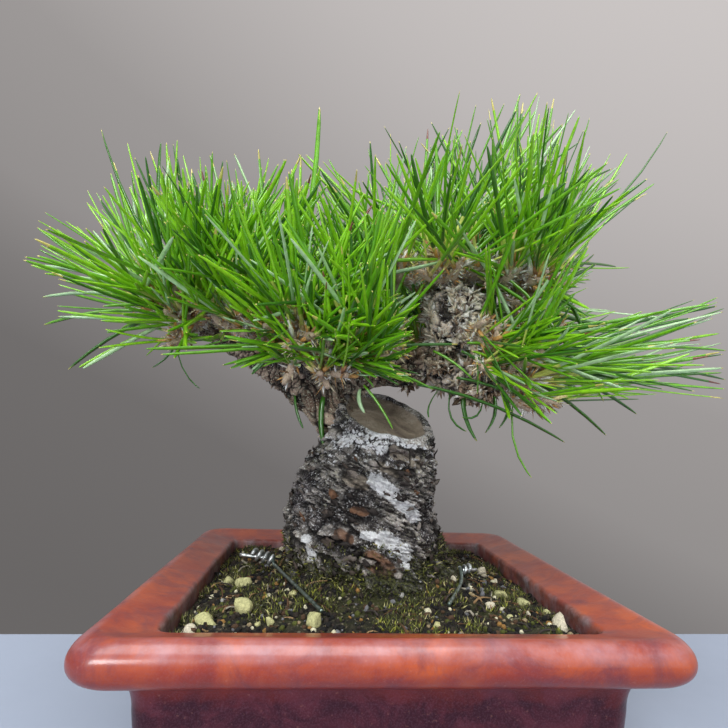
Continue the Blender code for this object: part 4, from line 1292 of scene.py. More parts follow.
def chop_height(angle):
    """The height at which the trunk's skin meets the old cut."""
    point, normal = CHOP_POINT, CHOP_NORMAL
    z = np.full(len(angle), point.z)
    for _ in range(10):
        skin = trunk_skin(angle, z)
        slope = normal.x * (skin[:, 0] - point.x) + normal.y * (skin[:, 1] - point.y)
        z = 0.5 * z + 0.5 * (point.z - slope / normal.z)
    return z


def near_streaks(points, streaks):
    """For each point, from 0 to 1, how near it is to one of the streaks."""
    best = np.zeros(len(points))
    for start, end, width in streaks:
        a, b = np.array(start) * MM, np.array(end) * MM
        t = np.clip((points - a) @ (b - a) / ((b - a) @ (b - a)), 0, 1)
        gap = np.linalg.norm((points - (a + t[:, None] * (b - a))) * (1, 0.45, 1), axis=1)
        best = np.maximum(best, 1 - soft_step(gap, 0.5 * width * MM, 2.0 * width * MM))
    return best


class BONSAI_OT_trunk(bpy.types.Operator):
    """Build the trunk with its bark plates and the old pruning cut"""

    bl_idname = "bonsai.trunk"
    bl_label = "Trunk"

    def execute(self, context):
        bark = context.scene.bonsai_bark
        obj = object_from(shell(TRUNK_COLUMNS, TRUNK_ROWS + FACE_ROWS + 1, self.place(bark)), "trunk_bark", [])
        obj.data.materials.append(bark_finish(bark, "trunk_bark", (1, 1, 1), 0.0))
        keep_piece(obj, "trunk_bark", "trunk")
        self.make_flakes(bark)
        return {"FINISHED"}

    def place(self, bark):
        """The wrapping of a grid into the trunk, foot, sides, rim and cut face."""

        def wrap(around, row):
            angles = np.unique(around)
            angle = around * 2 * math.pi
            angle[around >= 1] = 0
            tops = np.interp(around, angles, self.closed(chop_height(angles[:-1] * 2 * math.pi)))
            foot = TRUNK_STATIONS[0][0] * MM
            share = np.clip((row - 1) / (TRUNK_ROWS - 1), 0, 1)
            z = foot + (tops - foot) * share
            points = trunk_skin(angle, z)
            way = np.stack([np.cos(angle), np.sin(angle), np.zeros(len(angle))], 1)
            wide, tall = bark.plate_width, bark.plate_height
            leaning = points.copy()
            leaning[:, 2] += 0.42 * leaning[:, 0]
            height, clear, number = plates(leaning / (wide, wide, tall), 3.0)
            small, small_clear, _ = plates(leaning / (wide * 0.36, wide * 0.36, tall * 0.45), 40.0)
            frac, gap, shingle = self.shingles(points, leaning[:, 2], angle, bark)
            rim = soft_step(tops - z, 0.2 * MM, 3.6 * MM)
            low = 1 - soft_step(z, foot, foot + 9 * MM)
            depth = bark.plate_depth * (0.4 + 0.6 * rim)
            zone = soft_step(noise_at(points, 42, 21), -0.35, 0.15)
            edge = (1 - frac) ** 1.3 * gap
            strata = noise_at(leaning * (75, 75, 290), 5) + 0.6 * noise_at(leaning * (210, 210, 640), 9)
            edge = edge * zone + soft_step(strata, -0.5, 0.55) * (1 - zone)
            lift = depth * ((0.35 + 0.65 * shingle) * edge - 0.35)
            lift += depth * (0.50 * (height - 0.5) + 0.30 * (small - 0.45))
            grainy = noise_at(points, 1100, 2)
            lift += (0.5 + 0.4 * low) * MM * noise_at(points, 420, 6) + 0.30 * MM * grainy
            popped, lump, _ = cells_at(points * 520 + 0.9 * noise_at(points, 260, 11)[:, None])
            popped = 1 - (1 - soft_step(popped, 0.03, 0.45)) * (0.25 + 0.75 * soft_step(z, 88 * MM, 98 * MM))
            crust = 0.70 * soft_step(z, 86 * MM, 97 * MM) * edge
            streaked = near_streaks(points, LIME_STREAKS)
            lime = np.maximum(streaked, crust)
            lift += lime * MM * (0.9 * popped * (0.4 + 0.6 * lump) - 0.1 + 0.3 * noise_at(points, 800, 9))
            face = np.clip((row - TRUNK_ROWS) / FACE_ROWS, 0, 1)
            on_face = row > TRUNK_ROWS
            points = points + way * np.where(on_face, 0, lift)[:, None]
            # The rim rolls over, and the cut face sinks towards its middle
            roll = np.array(CHOP_NORMAL)
            middle = np.array(self.face_middle())
            inward = 1 - (1 - face) ** 1.0
            flat = points + (middle - points) * inward[:, None]
            reach = np.linalg.norm(points - middle, axis=1)
            into = inward * reach
            lumps = 0.6 + 0.8 * noise_at(points, 160, 12)
            swell = 1.5 * MM * lumps * np.exp(-(((into - 1.6 * MM) / (1.5 * MM)) ** 2))
            sink = -1.9 * MM * soft_step(into, 2.2 * MM, 6 * MM)
            cracks = 0.22 * MM * noise_at(flat, 380, 2) + 0.3 * MM * noise_at(flat * (1, 0.3, 1), 200, 5)
            face_lift = swell + sink + cracks * soft_step(into, 2 * MM, 4 * MM)
            points = np.where(on_face[:, None], flat + roll * face_lift[:, None], points)
            # The flat foot closes the skin below
            base = row == 0
            points[base] = (TRUNK_STATIONS[0][1] * MM, 0, foot)
            values = {
                "crack": np.where(on_face, 1.0, (0.3 + 0.7 * clear) * (0.5 + 0.5 * small_clear) * soft_step(edge, 0.03, 0.36)),
                "plate_tone": 0.45 * number + 0.3 * shingle + 0.25 * edge,
                "lime": np.where(on_face, (0.3 + 0.4 * streaked) * (1 - soft_step(into, 1.8 * MM, 4.2 * MM)), lime * (0.35 + 0.65 * popped)),
                "rust": near_streaks(points, RUST_SPOTS) * ~on_face,
                "tan": near_streaks(points, TAN_SPOTS) * ~on_face,
                "moss": np.where(on_face, 0, (1 - soft_step(z, 57 * MM, 76 * MM))),
                "bare": np.where(on_face, soft_step(into, 2.4 * MM, 4.2 * MM), 0),
            }
            return points, values

        return wrap

    def shingles(self, points, leaning, angle, bark):
        """Overlapping layers of bark: how far up its layer each point is, clear of gaps, and its plate's number."""
        pitch = bark.plate_height * 1.8
        warp = 1.5 * noise_at(points, 36, 8) + 0.5 * noise_at(points, 115, 4) + 0.16 * noise_at(points, 330, 2)
        up = leaning / pitch + warp
        layer = np.floor(up)
        around = angle * 25 * MM / (bark.plate_width * 1.2) + layer * 7.13 + 0.5 * noise_at(points, 120, 15)
        plate = np.floor(around)
        side = around - plate
        gap = soft_step(np.minimum(side, 1 - side), 0.0, 0.09)
        number = np.sin(layer * 12.9898 + plate * 78.233) * 43758.5453 % 1
        return up - layer, gap, number

    def closed(self, heights):
        """The heights with the first one again at the end."""
        return np.append(heights, heights[0])

    def face_middle(self):
        """The middle of the cut face."""
        angle = np.linspace(0, 2 * math.pi, 90, endpoint=False)
        return trunk_skin(angle, chop_height(angle)).mean(0)

    def make_flakes(self, bark):
        """Loose flakes that stand off the bark."""
        rng = np.random.default_rng(5)
        points, faces = template(lambda bm: self.flake(bm))
        count = 420
        angle = rng.uniform(0, 2 * math.pi, count)
        z = rng.uniform(60, 101, count) * MM
        skin = trunk_skin(angle, z)
        out = np.column_stack([np.cos(angle), np.sin(angle), np.zeros(count)])
        along = np.column_stack([-np.sin(angle), np.cos(angle), np.full(count, 0.0)])
        along[:, 2] = -0.42 * along[:, 0]
        along = unit(along + rng.normal(scale=0.25, size=along.shape))
        lean = unit(out + rng.normal(scale=0.22, size=out.shape) + (0, 0, -0.15))
        across = unit(np.cross(lean, along))
        along = np.cross(across, lean)
        wide = rng.uniform(0.8, 2.9, count) * MM
        tall = wide * rng.uniform(0.25, 0.6, count)
        thick = rng.uniform(0.16, 0.36, count) * MM
        frames = np.stack([along * wide[:, None], across * tall[:, None], lean * thick[:, None]], 1)
        spots = skin + out * rng.uniform(0.1, 0.9, count)[:, None] * MM
        corners = len(points) // 2
        ragged = np.tile(rng.uniform(0.3, 1.3, (count, corners)), 2)[:, :, None] * (1, 1, 0) + (0, 0, 1)
        chips = np.repeat(points[None], count, 0) * ragged
        shape = np.einsum("nvk,nkj->nvj", chips, frames) + spots[:, None, :]
        shape += rng.normal(scale=0.16 * MM, size=shape.shape)
        shades = ((0.030, 0.024, 0.021), (0.075, 0.056, 0.045), (0.16, 0.135, 0.115), (0.30, 0.27, 0.24), (0.15, 0.075, 0.04))
        finishes = [grain_finish(f"flake_{i}", shade, 0.88) for i, shade in enumerate(shades)]
        picks = rng.choice(5, count, p=(0.42, 0.27, 0.14, 0.09, 0.08))
        keep_piece(joined("bark_flakes", shape, faces, picks, finishes), "trunk_bark")

    def flake(self, bm):
        """A thin slab with a broken outline."""
        bmesh.ops.create_cone(bm, cap_ends=True, segments=7, radius1=1, radius2=0.72, depth=1)


# Boughs and twigs


def on_curve(p, q, r, s, t):
    """A value on the Catmull-Rom curve from q to r."""
    bend = 2 * p - 5 * q + 4 * r - s
    twist = 3 * q - p - 3 * r + s
    return 0.5 * (2 * q + (r - p) * t + bend * t**2 + twist * t**3)


def smooth_path(places, step):
    """Points and radii along a curve through the places, about a step apart."""
    knots = [places[0]] + list(places) + [places[-1]]
    path = []
    for a, b, c, d in zip(knots, knots[1:], knots[2:], knots[3:]):
        count = max(1, round((Vector(c[:3]) - Vector(b[:3])).length * MM / step))
        for i in range(count):
            t = i / count
            path.append([on_curve(*values, t) for values in zip(a, b, c, d)])
    path.append(list(places[-1]))
    return np.array(path) * MM


def axes_along(points):
    """Two axes across a path at each of its points, carried along without twisting."""
    ways = unit(np.gradient(points, axis=0))
    side = np.cross(ways[0], (0.3, 0.9, 0.2))
    sides = []
    for way in ways:
        side = side - way * (side @ way)
        side = side / np.linalg.norm(side)
        sides.append(side)
    first = np.array(sides)
    return first, np.cross(ways, first), ways


class BONSAI_OT_boughs(bpy.types.Operator):
    """Build the boughs with their bark and old bud scales"""

    bl_idname = "bonsai.boughs"
    bl_label = "Boughs"

    def execute(self, context):
        bark = context.scene.bonsai_bark
        brown = bark_finish(bark, "bough_bark_brown", (3.2, 2.1, 1.4), 0.0)
        grey = bark_finish(bark, "bough_bark_grey", (6.2, 5.3, 4.0), 1.0)
        rng = np.random.default_rng(23)
        spots, ways, tones = [], [], []
        for name, places in BOUGHS.items():
            path = smooth_path(places, BARK_CELL)
            finish = grey if SCALY[name] > 0.6 else brown
            bm = self.limb(path, name, SCALY[name])
            keep_piece(object_from(bm, name + "_bark", [finish]), "bough_bark", name)
            spot, way = self.scale_places(path, SCALY[name], rng)
            spots.append(spot)
            ways.append(way)
            tones.append(np.full(len(spot), SCALY[name]))
        self.make_scales(bark, np.vstack(spots), np.vstack(ways), np.concatenate(tones), rng)
        return {"FINISHED"}

    def limb(self, path, name, scaly):
        """A closed limb with bark relief along the path."""
        first, second, ways = axes_along(path[:, :3])
        radius = path[:, 3]
        columns = max(20, round(2 * math.pi * radius.max() / BARK_CELL))
        count = len(path)
        seed = sum(map(ord, name))

        def wrap(around, row):
            angle = around * 2 * math.pi
            angle[around >= 1] = 0
            # Two rings close each end in a low dome
            at = np.clip(row - 2, 0, count - 1)
            end = np.where(row < 2, row, np.where(row > count + 1, count + 3 - row, 2))
            shrink = np.array((0.0, 0.72, 1.0))[end]
            bulge = np.array((0.30, 0.2, 0.0))[end] * np.where(row < 2, -1, 1)
            out = first[at] * np.cos(angle)[:, None] + second[at] * np.sin(angle)[:, None]
            points = path[at, :3] + out * (radius[at] * shrink)[:, None] + ways[at] * (bulge * radius[at])[:, None]
            thick = radius[at][:, None] / (6 * MM)
            space = points / (3.2 * MM * (0.7 + 0.3 * thick))
            height, clear, number = plates(space, seed * 1.7)
            lift = (0.20 + 0.10 * scaly) * (height - 0.5) * np.minimum(radius[at], 7 * MM)
            lift += 0.13 * radius[at] * noise_at(points, 150, seed)
            lift += 0.25 * MM * noise_at(points, 900, seed)
            points = points + out * (lift * shrink)[:, None]
            zero = np.zeros(len(points))
            values = {"crack": clear, "plate_tone": number, "lime": zero, "rust": zero}
            values.update({"tan": zero, "moss": zero, "bare": zero})
            return points, values

        return shell(columns, count + 3, wrap)

    def scale_places(self, path, scaly, rng):
        """Where old scales stand on the limb, in rosettes round dead buds, and the way that each points."""
        first, second, ways = axes_along(path[:, :3])
        area = 2 * math.pi * path[:, 3] * BARK_CELL
        count = int(area.sum() / (4.3 * MM) ** 2 * scaly)
        row = rng.choice(len(path), count, p=area / area.sum())
        angle = rng.uniform(0, 2 * math.pi, count)
        out = first[row] * np.cos(angle)[:, None] + second[row] * np.sin(angle)[:, None]
        spot = path[row, :3] + out * (path[row, 3] * 0.97)[:, None]
        many = 11
        spot, out = np.repeat(spot, many, 0), np.repeat(out, many, 0)
        along = unit(np.cross(out, rng.normal(size=out.shape)))
        open_ = rng.uniform(0.1, 1.5, len(out))[:, None]
        return spot + along * open_ * 1.1 * MM, out + along * open_ + rng.normal(scale=0.15, size=out.shape)

    def make_scales(self, bark, spots, ways, tones, rng):
        """Dry curled bud scales."""
        points, faces = template(dry_scale)
        count = len(spots)
        tall = bark.scale_size * rng.uniform(0.4, 1.0, count)
        wide = rng.uniform(0.6, 1.65, count) * MM
        frames = frames_along(ways, rng.uniform(0, 6.3, count), np.column_stack([wide, wide * 0.4, tall]))
        shades = ((0.15, 0.095, 0.06), (0.42, 0.30, 0.20), (0.64, 0.54, 0.39), (0.82, 0.75, 0.61), (0.95, 0.91, 0.80))
        finishes = [grain_finish(f"scale_{i}", shade, 0.85) for i, shade in enumerate(shades)]
        pale = rng.choice(5, count, p=(0.05, 0.13, 0.24, 0.30, 0.28))
        brown = rng.choice(5, count, p=(0.30, 0.34, 0.22, 0.10, 0.04))
        worn = rng.choice(5, count, p=(0.12, 0.32, 0.28, 0.18, 0.10))
        picks = np.where(tones > 0.9, pale, np.where(tones > 0.6, worn, brown))
        keep_piece(joined("bud_scales", scattered(points, frames, spots), faces, picks, finishes), "bough_bark")


def dry_scale(bm):
    """A pointed scale that curls at its tip."""
    bmesh.ops.create_cone(bm, cap_ends=True, segments=4, radius1=0.8, radius2=0.12, depth=1)
    bmesh.ops.translate(bm, vec=(0, 0, 0.5), verts=bm.verts)
    sides = [edge for edge in bm.edges if abs(edge.verts[0].co.z - edge.verts[1].co.z) > 0.5]
    bmesh.ops.subdivide_edges(bm, edges=sides, cuts=1, use_grid_fill=True)
    for vertex in bm.verts:
        if 0.2 < vertex.co.z < 0.8:
            vertex.co.x *= 1.7
            vertex.co.y = vertex.co.y * 0.8 + 0.35
        elif vertex.co.z >= 0.8:
            vertex.co.y += 0.2


# Foliage


Shoot = namedtuple("Shoot", "foot way length twig reach pairs")


def skeleton(name):
    """The stem and twigs of a mass, as lists of (point, radius), and its shoots: foot, way, knee and reach."""
    mass = MASSES[name]
    last, before = (Vector(place[:3]) * MM for place in (BOUGHS[mass.bough][-1], BOUGHS[mass.bough][-2]))
    way = (last - before).normalized()
    start = last + way * CLEARANCE
    fork = start + way * STEM_LENGTH
    stem_radius = min(BOUGHS[mass.bough][-1][3] * MM * STEM_TAPER, STEM_RADIUS)
    limbs = [[(last - way * 2 * MM, stem_radius), (fork, stem_radius), (fork + way * MM, stem_radius * 0.6)]]
    shoots = []
    for place in mass.feet:
        foot = Vector(place) * MM
        direction = (foot - Vector(mass.fan_middle) * MM).normalized()
        knee = fork.lerp(foot, TWIG_KNEE) + way * TWIG_RISE
        limbs.append([(fork - way * TWIG_SINK, TWIG_RADIUS * 1.3), (knee, TWIG_RADIUS), (foot, TWIG_RADIUS)])
        shoots.append((foot, direction, knee, 1.0))
    along = [Vector(point[:3]) for places in BOUGHS.values() for point in smooth_path(places, 2 * MM).tolist()]
    along += [point for limb in limbs for point, _ in samples_on(limb, 2 * MM)]
    for place, toward, reach in LOW_SHOOTS[name]:
        foot = Vector(place) * MM
        start = min(along, key=lambda point: (point - foot).length)
        limbs.append([(start, TWIG_RADIUS), (foot, TWIG_RADIUS * 0.9)])
        shoots.append((foot, Vector(toward).normalized(), start, reach))
    return limbs, shoots


def samples_on(path, step):
    """Points along a chain of (point, radius), with the radius at each."""
    found = []
    for (a, ra), (b, rb) in zip(path, path[1:]):
        count = max(1, math.ceil((b - a).length / step))
        found += [(a.lerp(b, i / count), ra + (rb - ra) * i / count) for i in range(count + 1)]
    return found


def crown_anchors():
    """For each mass, points along its stem, twigs and shoots, which claim the space round them."""
    anchors = {}
    for name in MASSES:
        limbs, shoots = skeleton(name)
        points = [p for limb in limbs for p, _ in samples_on(limb, 5 * MM)]
        for foot, direction, _, reach in shoots:
            points += [foot + direction * SHOOT_LENGTH * share * reach for share in (0, 0.5, 1)]
        anchors[name] = np.array(points)
    return anchors


def limb_samples():
    """Points and radii along every bough and up the trunk, for needles to keep clear of."""
    found = [smooth_path(places, 2 * MM) for places in BOUGHS.values()]
    z = np.arange(TRUNK_STATIONS[0][0], 120, 4) * MM
    middle, half = trunk_station(z)
    found.append(np.stack([middle, np.zeros(len(z)), z, half], 1))
    return np.vstack(found)


def seen_place(points):
    """Where points show on the upright plane through the pot's middle, as seen from the front."""
    return VIEW_PLACE + (points - VIEW_PLACE) * VIEW_PLACE[1] / (VIEW_PLACE[1] - points[:, 1:2])


def leaves_openings(points):
    """True where no point hides a place that the foliage leaves open."""
    seen = seen_place(points) / MM
    for left, low, right, high, back in OPENINGS:
        across = (seen[:, 0] > left) & (seen[:, 0] < right)
        if (across & (seen[:, 2] > low) & (seen[:, 2] < high) & (points[:, 1] < back * MM)).any():
            return False
    return True


def in_fan(points, fan):
    """True where the line of points shows at a slope of the fan."""
    seen = seen_place(points)
    slope = math.degrees(math.atan2(seen[-1, 2] - seen[0, 2], seen[-1, 0] - seen[0, 0]))
    return fan[0] <= slope <= fan[1] or fan[0] <= slope + 360 <= fan[1]


def in_own_space(points, own, others):
    """True where the points lie on their own mass's side of the planes midway to the others."""
    to_own = ((points[:, None] - own) ** 2).sum(2)
    nearest = own[to_own.argmin(1)]
    to_others = ((points[:, None] - others) ** 2).sum(2)
    gaps = np.linalg.norm(others[None] - nearest[:, None], axis=2)
    return bool((((to_others - to_own.min(1)[:, None]) / (2 * gaps)) >= SPACE_MARGIN).all())


def in_crown(points, more):
    """True where the points are inside the crown's box and inside its outline, with that much more height."""
    if (points < CROWN_LOW).any() or (points > CROWN_HIGH).any():
        return False
    seen = np.where(points[:, 1:2] < 0, seen_place(points), points)
    across, top = np.array(CROWN_OUTLINE).T * MM
    high = np.interp(seen[:, 0], across, top) + more
    return bool(((seen[:, 0] >= across[0]) & (seen[:, 0] <= across[-1]) & (seen[:, 2] <= high)).all())


def clear_of_limbs(points, limbs):
    """True where the points are outside every bough and the trunk, with a margin."""
    gaps = np.linalg.norm(points[:, None] - limbs[None, :, :3], axis=2)
    return bool((gaps > limbs[:, 3] + LIMB_MARGIN).all())


def finer_shoots(foot, direction, knee, reach, limbs, settings, rng):
    """A shoot, the side shoots that fork from its foot, and those that break from its twig."""
    found = [Shoot(foot, direction, SHOOT_LENGTH * reach**0.5, None, reach, settings.pairs_main)]
    side = direction.orthogonal().normalized()
    turn = rng.uniform(0, 2 * math.pi)
    for i in range(SIDE_SHOOTS):
        around = Matrix.Rotation(turn + i * 2 * math.pi / SIDE_SHOOTS, 3, direction) @ side
        start = foot + around * SIDE_REACH * rng.uniform(0.8, 1.3) + direction * rng.uniform(-1, 3) * MM
        if clear_of_limbs(np.array([start]), limbs):
            way = (direction + around * SIDE_LEAN * rng.uniform(0.7, 1.3)).normalized()
            twig = [(foot - direction * 3 * MM, TWIG_RADIUS * 0.8), (start, TWIG_RADIUS * 0.75)]
            found.append(Shoot(start, way, SHOOT_LENGTH * 0.7, twig, reach, settings.pairs_side))
    for share in BUD_PLACES:
        around = Matrix.Rotation(rng.uniform(0, 2 * math.pi), 3, direction) @ side
        base = knee.lerp(foot, share)
        start = base + around * rng.uniform(2.2, 4.5) * MM
        if clear_of_limbs(np.array([start]), limbs):
            way = (direction * 0.7 + around * rng.uniform(0.6, 1.2)).normalized()
            twig = [(base, TWIG_RADIUS * 0.8), (start, TWIG_RADIUS * 0.7)]
            found.append(Shoot(start, way, SHOOT_LENGTH * 0.5, twig, reach * 0.8, settings.pairs_bud))
    return found


def grow_needles(mass, shoots, own, others, limbs, rng):
    """Rows of root, way, bend, flat side, length and pair for the needles that stay in their mass's space."""
    kept, roots = [], []
    spread = math.radians(mass.spread)
    steps = np.linspace(0, 1, NEEDLE_CHECKS + 1)[1:, None]
    for foot, direction, shoot_length, _, reach_share, pairs in shoots:
        wanted = round(pairs * mass.density)
        short = reach_share < SHORT_REACH
        side = direction.orthogonal().normalized()
        made, tries, turn = 0, 0, rng.uniform(0, 2 * math.pi)
        while made < wanted and tries < NEEDLE_TRIES:
            share = (tries % wanted + 0.5) / wanted
            tries += 1
            turn += GOLDEN_ANGLE
            angle = spread + (NEEDLE_ANGLE_TOP - spread) * share**0.8 + rng.gauss(0, math.radians(12))
            around = Matrix.Rotation(turn, 3, direction) @ side
            way = direction * math.cos(angle) + around * math.sin(angle)
            root = foot + direction * shoot_length * (0.1 + 0.75 * share) + around * SHOOT_RADIUS * 0.7
            whole = mass.needle_length * MM * reach_share * rng.uniform(0.82, 1.08)
            if rng.random() < 0.25:
                whole *= rng.uniform(0.5, 0.9)
            strays = rng.random() < OUT_OF_FAN
            more = min(rng.gauss(-0.7, 1.7), 1.2) * PAST_OUTLINE
            apart = way.cross(direction + around * 0.4).normalized()
            apart = Matrix.Rotation(rng.uniform(-1.2, 1.2), 3, way) @ apart
            grown = 0
            for hand in (-1, 1):
                open_ = math.radians(rng.uniform(1.5, 7))
                one = way * math.cos(open_) + apart * hand * math.sin(open_)
                bend = apart * hand * rng.uniform(-0.02, 0.06) + Vector((0, 0, 1)) * rng.gauss(0.0, 0.045)
                bend += Vector((rng.gauss(0, 0.04), rng.gauss(0, 0.04), 0))
                reach = whole * rng.uniform(0.94, 1.03)
                line = np.array(root + one * 2 * MM) + steps * reach * np.array(one) + steps**2 * reach * np.array(bend)
                free = in_crown(line, more) and clear_of_limbs(line, limbs) and in_own_space(line, own, others)
                if free and leaves_openings(line) and (strays or short or in_fan(line, mass.fan)):
                    kept.append((*root, *one, *bend, *(apart * hand), reach, rng.uniform(0.72, 1.12)))
                    grown += 1
            if grown:
                made += 1
                roots.append((*root, *way))
    return np.array(kept), np.array(roots)


def needle_faces():
    """Triangles of one needle: rings joined up, a fan at the tip and a cap at the root."""
    sides, rings = len(NEEDLE_OUTLINE), len(NEEDLE_RINGS)
    faces = []
    for ring in range(rings - 1):
        for i in range(sides):
            a, b = ring * sides + i, ring * sides + (i + 1) % sides
            faces += [(a, b, b + sides), (a, b + sides, a + sides)]
    last, tip = (rings - 1) * sides, rings * sides
    faces += [(last + i, last + (i + 1) % sides, tip) for i in range(sides)]
    faces += [(0, i + 1, i) for i in range(1, sides - 1)]
    return np.array(faces)[:, ::-1]


def needle_points(rows, half_width):
    """The points of each needle from its row."""
    root, way, bend, flat = rows[:, 0:3], rows[:, 3:6], rows[:, 6:9], rows[:, 9:12]
    reach, wide_share = rows[:, 12:13], rows[:, 13:14]
    thick = unit(flat - way * (flat * way).sum(1, keepdims=True))
    wide = np.cross(way, thick)
    rings = []
    for at, share in NEEDLE_RINGS:
        middle = root + way * reach * at + bend * reach * at**2
        for x, y in NEEDLE_OUTLINE:
            rings.append(middle + (wide * x + thick * y) * half_width * share * wide_share)
    rings.append(root + way * reach + bend * reach)
    return np.stack(rings, 1)


class BONSAI_OT_foliage(bpy.types.Operator):
    """Grow the needles, their sheaths and their twigs"""

    bl_idname = "bonsai.foliage"
    bl_label = "Needles and twigs"

    def execute(self, context):
        settings, bark = context.scene.bonsai_needles, context.scene.bonsai_bark
        anchors, limbs = crown_anchors(), limb_samples()
        finishes = [
            leaf_finish("needle_bright", settings.bright),
            leaf_finish("needle_green", settings.middle),
            leaf_finish("needle_deep", settings.deep),
            leaf_finish("needle_base", (0.66, 0.70, 0.16)),
            leaf_finish("needle_straw", settings.tip),
            leaf_finish("needle_scorched", (0.17, 0.05, 0.025)),
            # Whitish green that some needles are dealt as a painted sheen
            leaf_finish("needle_painted_sheen", (0.40, 0.60, 0.31)),
        ]
        faces = needle_faces()
        roots, twigs, shoots = [], [], []
        for name, mass in MASSES.items():
            rng = random.Random(name)
            framework, own_shoots = skeleton(name)
            finer = [item for shoot in own_shoots for item in finer_shoots(*shoot, limbs, settings, rng)]
            others = np.vstack([points for other, points in anchors.items() if other != name])
            rows, feet = grow_needles(mass, finer, anchors[name], others, limbs, rng)
            picks = self.deal(len(rows), faces, name)
            points = needle_points(rows, settings.half_width)
            keep_piece(joined(name + "_fine", points, faces, picks, finishes, True), "needles", name)
            roots.append(feet)
            twigs += framework + [shoot.twig for shoot in finer if shoot.twig]
            shoots += finer
        self.make_strays(settings, faces, finishes)
        roots = np.vstack(roots)
        self.make_twigs(twigs, shoots, bark)
        self.make_sheaths(roots, settings)
        self.make_shoot_scales(shoots, twigs)
        return {"FINISHED"}

    def deal(self, count, faces, name):
        """The finish of each face: a green or the painted whitish sheen for each needle, paler at its root, straw or
        scorched at its tip.
        """
        rng = np.random.default_rng(sum(map(ord, name)))
        # Slot 6 is the painted whitish sheen
        body = rng.choice((0, 1, 2, 6), count, p=GREENS.get(name, (0.36, 0.34, 0.24, 0.06)))
        picks = np.repeat(body[:, None], len(faces), 1)
        sides = len(NEEDLE_OUTLINE)
        first = faces.min(1) < sides
        tip = faces.max(1) >= len(NEEDLE_RINGS) * sides
        near_tip = faces.max(1) >= (len(NEEDLE_RINGS) - 1) * sides
        pale = rng.random(count) < 0.8
        picks[np.ix_(pale, first)] = 3
        picks[np.ix_(rng.random(count) < 0.3, faces.min(1) < 2 * sides)] = 3
        draw = rng.random(count)
        picks[np.ix_(draw < 0.75, tip)] = 4
        picks[np.ix_(draw < 0.07, near_tip)] = 4
        picks[np.ix_(draw > 0.98, near_tip)] = 5
        return picks

    def make_strays(self, settings, faces, finishes):
        """Single needles that hang from the boughs or stand out of the crown."""
        root, tip, bow, shades = zip(*STRAYS)
        root, tip, bow = (np.array(part, float) * MM for part in (root, tip, bow))
        bend = -4 * bow
        reach = np.linalg.norm(tip - root, axis=1, keepdims=True)
        flat = np.tile((0.2, 0.3, 1.0), (len(root), 1))
        rows = np.hstack([root, (tip - root - bend) / reach, bend / reach, flat, reach, 1.3 * reach**0])
        picks = np.repeat(np.array(shades)[:, None], len(faces), 1)
        picks[:, -9:] = 4
        keep_piece(joined("stray_needles", needle_points(rows, settings.half_width), faces, picks, finishes, True), "needles")

    def make_twigs(self, twigs, shoots, bark):
        """Twigs and shoot cores as one skin of tubes."""
        curve = bpy.data.curves.new("twigs", "CURVE")
        curve.dimensions = "3D"
        curve.bevel_depth = 1.0
        curve.use_fill_caps = True
        curve.bevel_resolution = 3
        chains = list(twigs)
        for foot, way, reach, *_ in shoots:
            core = ((-2 * MM, 1.5), (reach * 0.6, 1.4), (reach, 0.7))
            chains.append([(foot + way * at, radius * MM) for at, radius in core])
        for chain in chains:
            places = [(*(point / MM), radius / MM) for point, radius in chain]
            path = smooth_path(places, 1.4 * MM)
            spline = curve.splines.new("POLY")
            spline.points.add(len(path) - 1)
            for knot, (x, y, z, radius) in zip(spline.points, path.tolist()):
                knot.co = (x, y, z, 1)
                knot.radius = radius
        bm = tube_mesh(curve)
        rough = noise_at(np.array([vertex.co for vertex in bm.verts]), 500, 3)
        for vertex, height in zip(bm.verts, rough):
            vertex.co += vertex.normal * height * 0.45 * MM
        keep_piece(object_from(bm, "twigs", [grain_finish("twig_bark", (0.52, 0.40, 0.29), 0.88)]), "bough_bark")

    def make_sheaths(self, roots, settings):
        """The papery sheath that holds each pair of needles."""
        points, faces = template(self.sheath)
        rng = np.random.default_rng(41)
        count = len(roots)
        tall = rng.uniform(4.0, 7.5, count) * MM
        wide = rng.uniform(0.66, 0.92, count) * MM
        frames = frames_along(roots[:, 3:6], rng.uniform(0, 6.3, count), np.column_stack([wide, wide * 0.85, tall]))
        shades = (settings.sheath, (0.88, 0.72, 0.34), (0.98, 0.95, 0.82), (0.45, 0.23, 0.10))
        finishes = [grain_finish(f"sheath_{i}", shade, 0.75) for i, shade in enumerate(shades)]
        picks = rng.choice(4, count, p=(0.30, 0.34, 0.24, 0.12))
        spots = roots[:, 0:3] - unit(roots[:, 3:6]) * 0.6 * MM
        keep_piece(joined("needle_sheaths", scattered(points, frames, spots), faces, picks, finishes, True), "bough_bark")

    def sheath(self, bm):
        """A short tube with a frayed upper edge."""
        bmesh.ops.create_cone(bm, cap_ends=True, segments=6, radius1=0.75, radius2=0.85, depth=1)
        bmesh.ops.translate(bm, vec=(0, 0, 0.5), verts=bm.verts)
        sides = [edge for edge in bm.edges if abs(edge.verts[0].co.z - edge.verts[1].co.z) > 0.5]
        bmesh.ops.subdivide_edges(bm, edges=sides, cuts=1, use_grid_fill=True)
        for i, vertex in enumerate(bm.verts):
            if 0.3 < vertex.co.z < 0.7:
                vertex.co.x *= 1.3
                vertex.co.y *= 1.3
            elif vertex.co.z > 0.9:
                vertex.co.z += 0.16 * math.sin(i * 2.4)

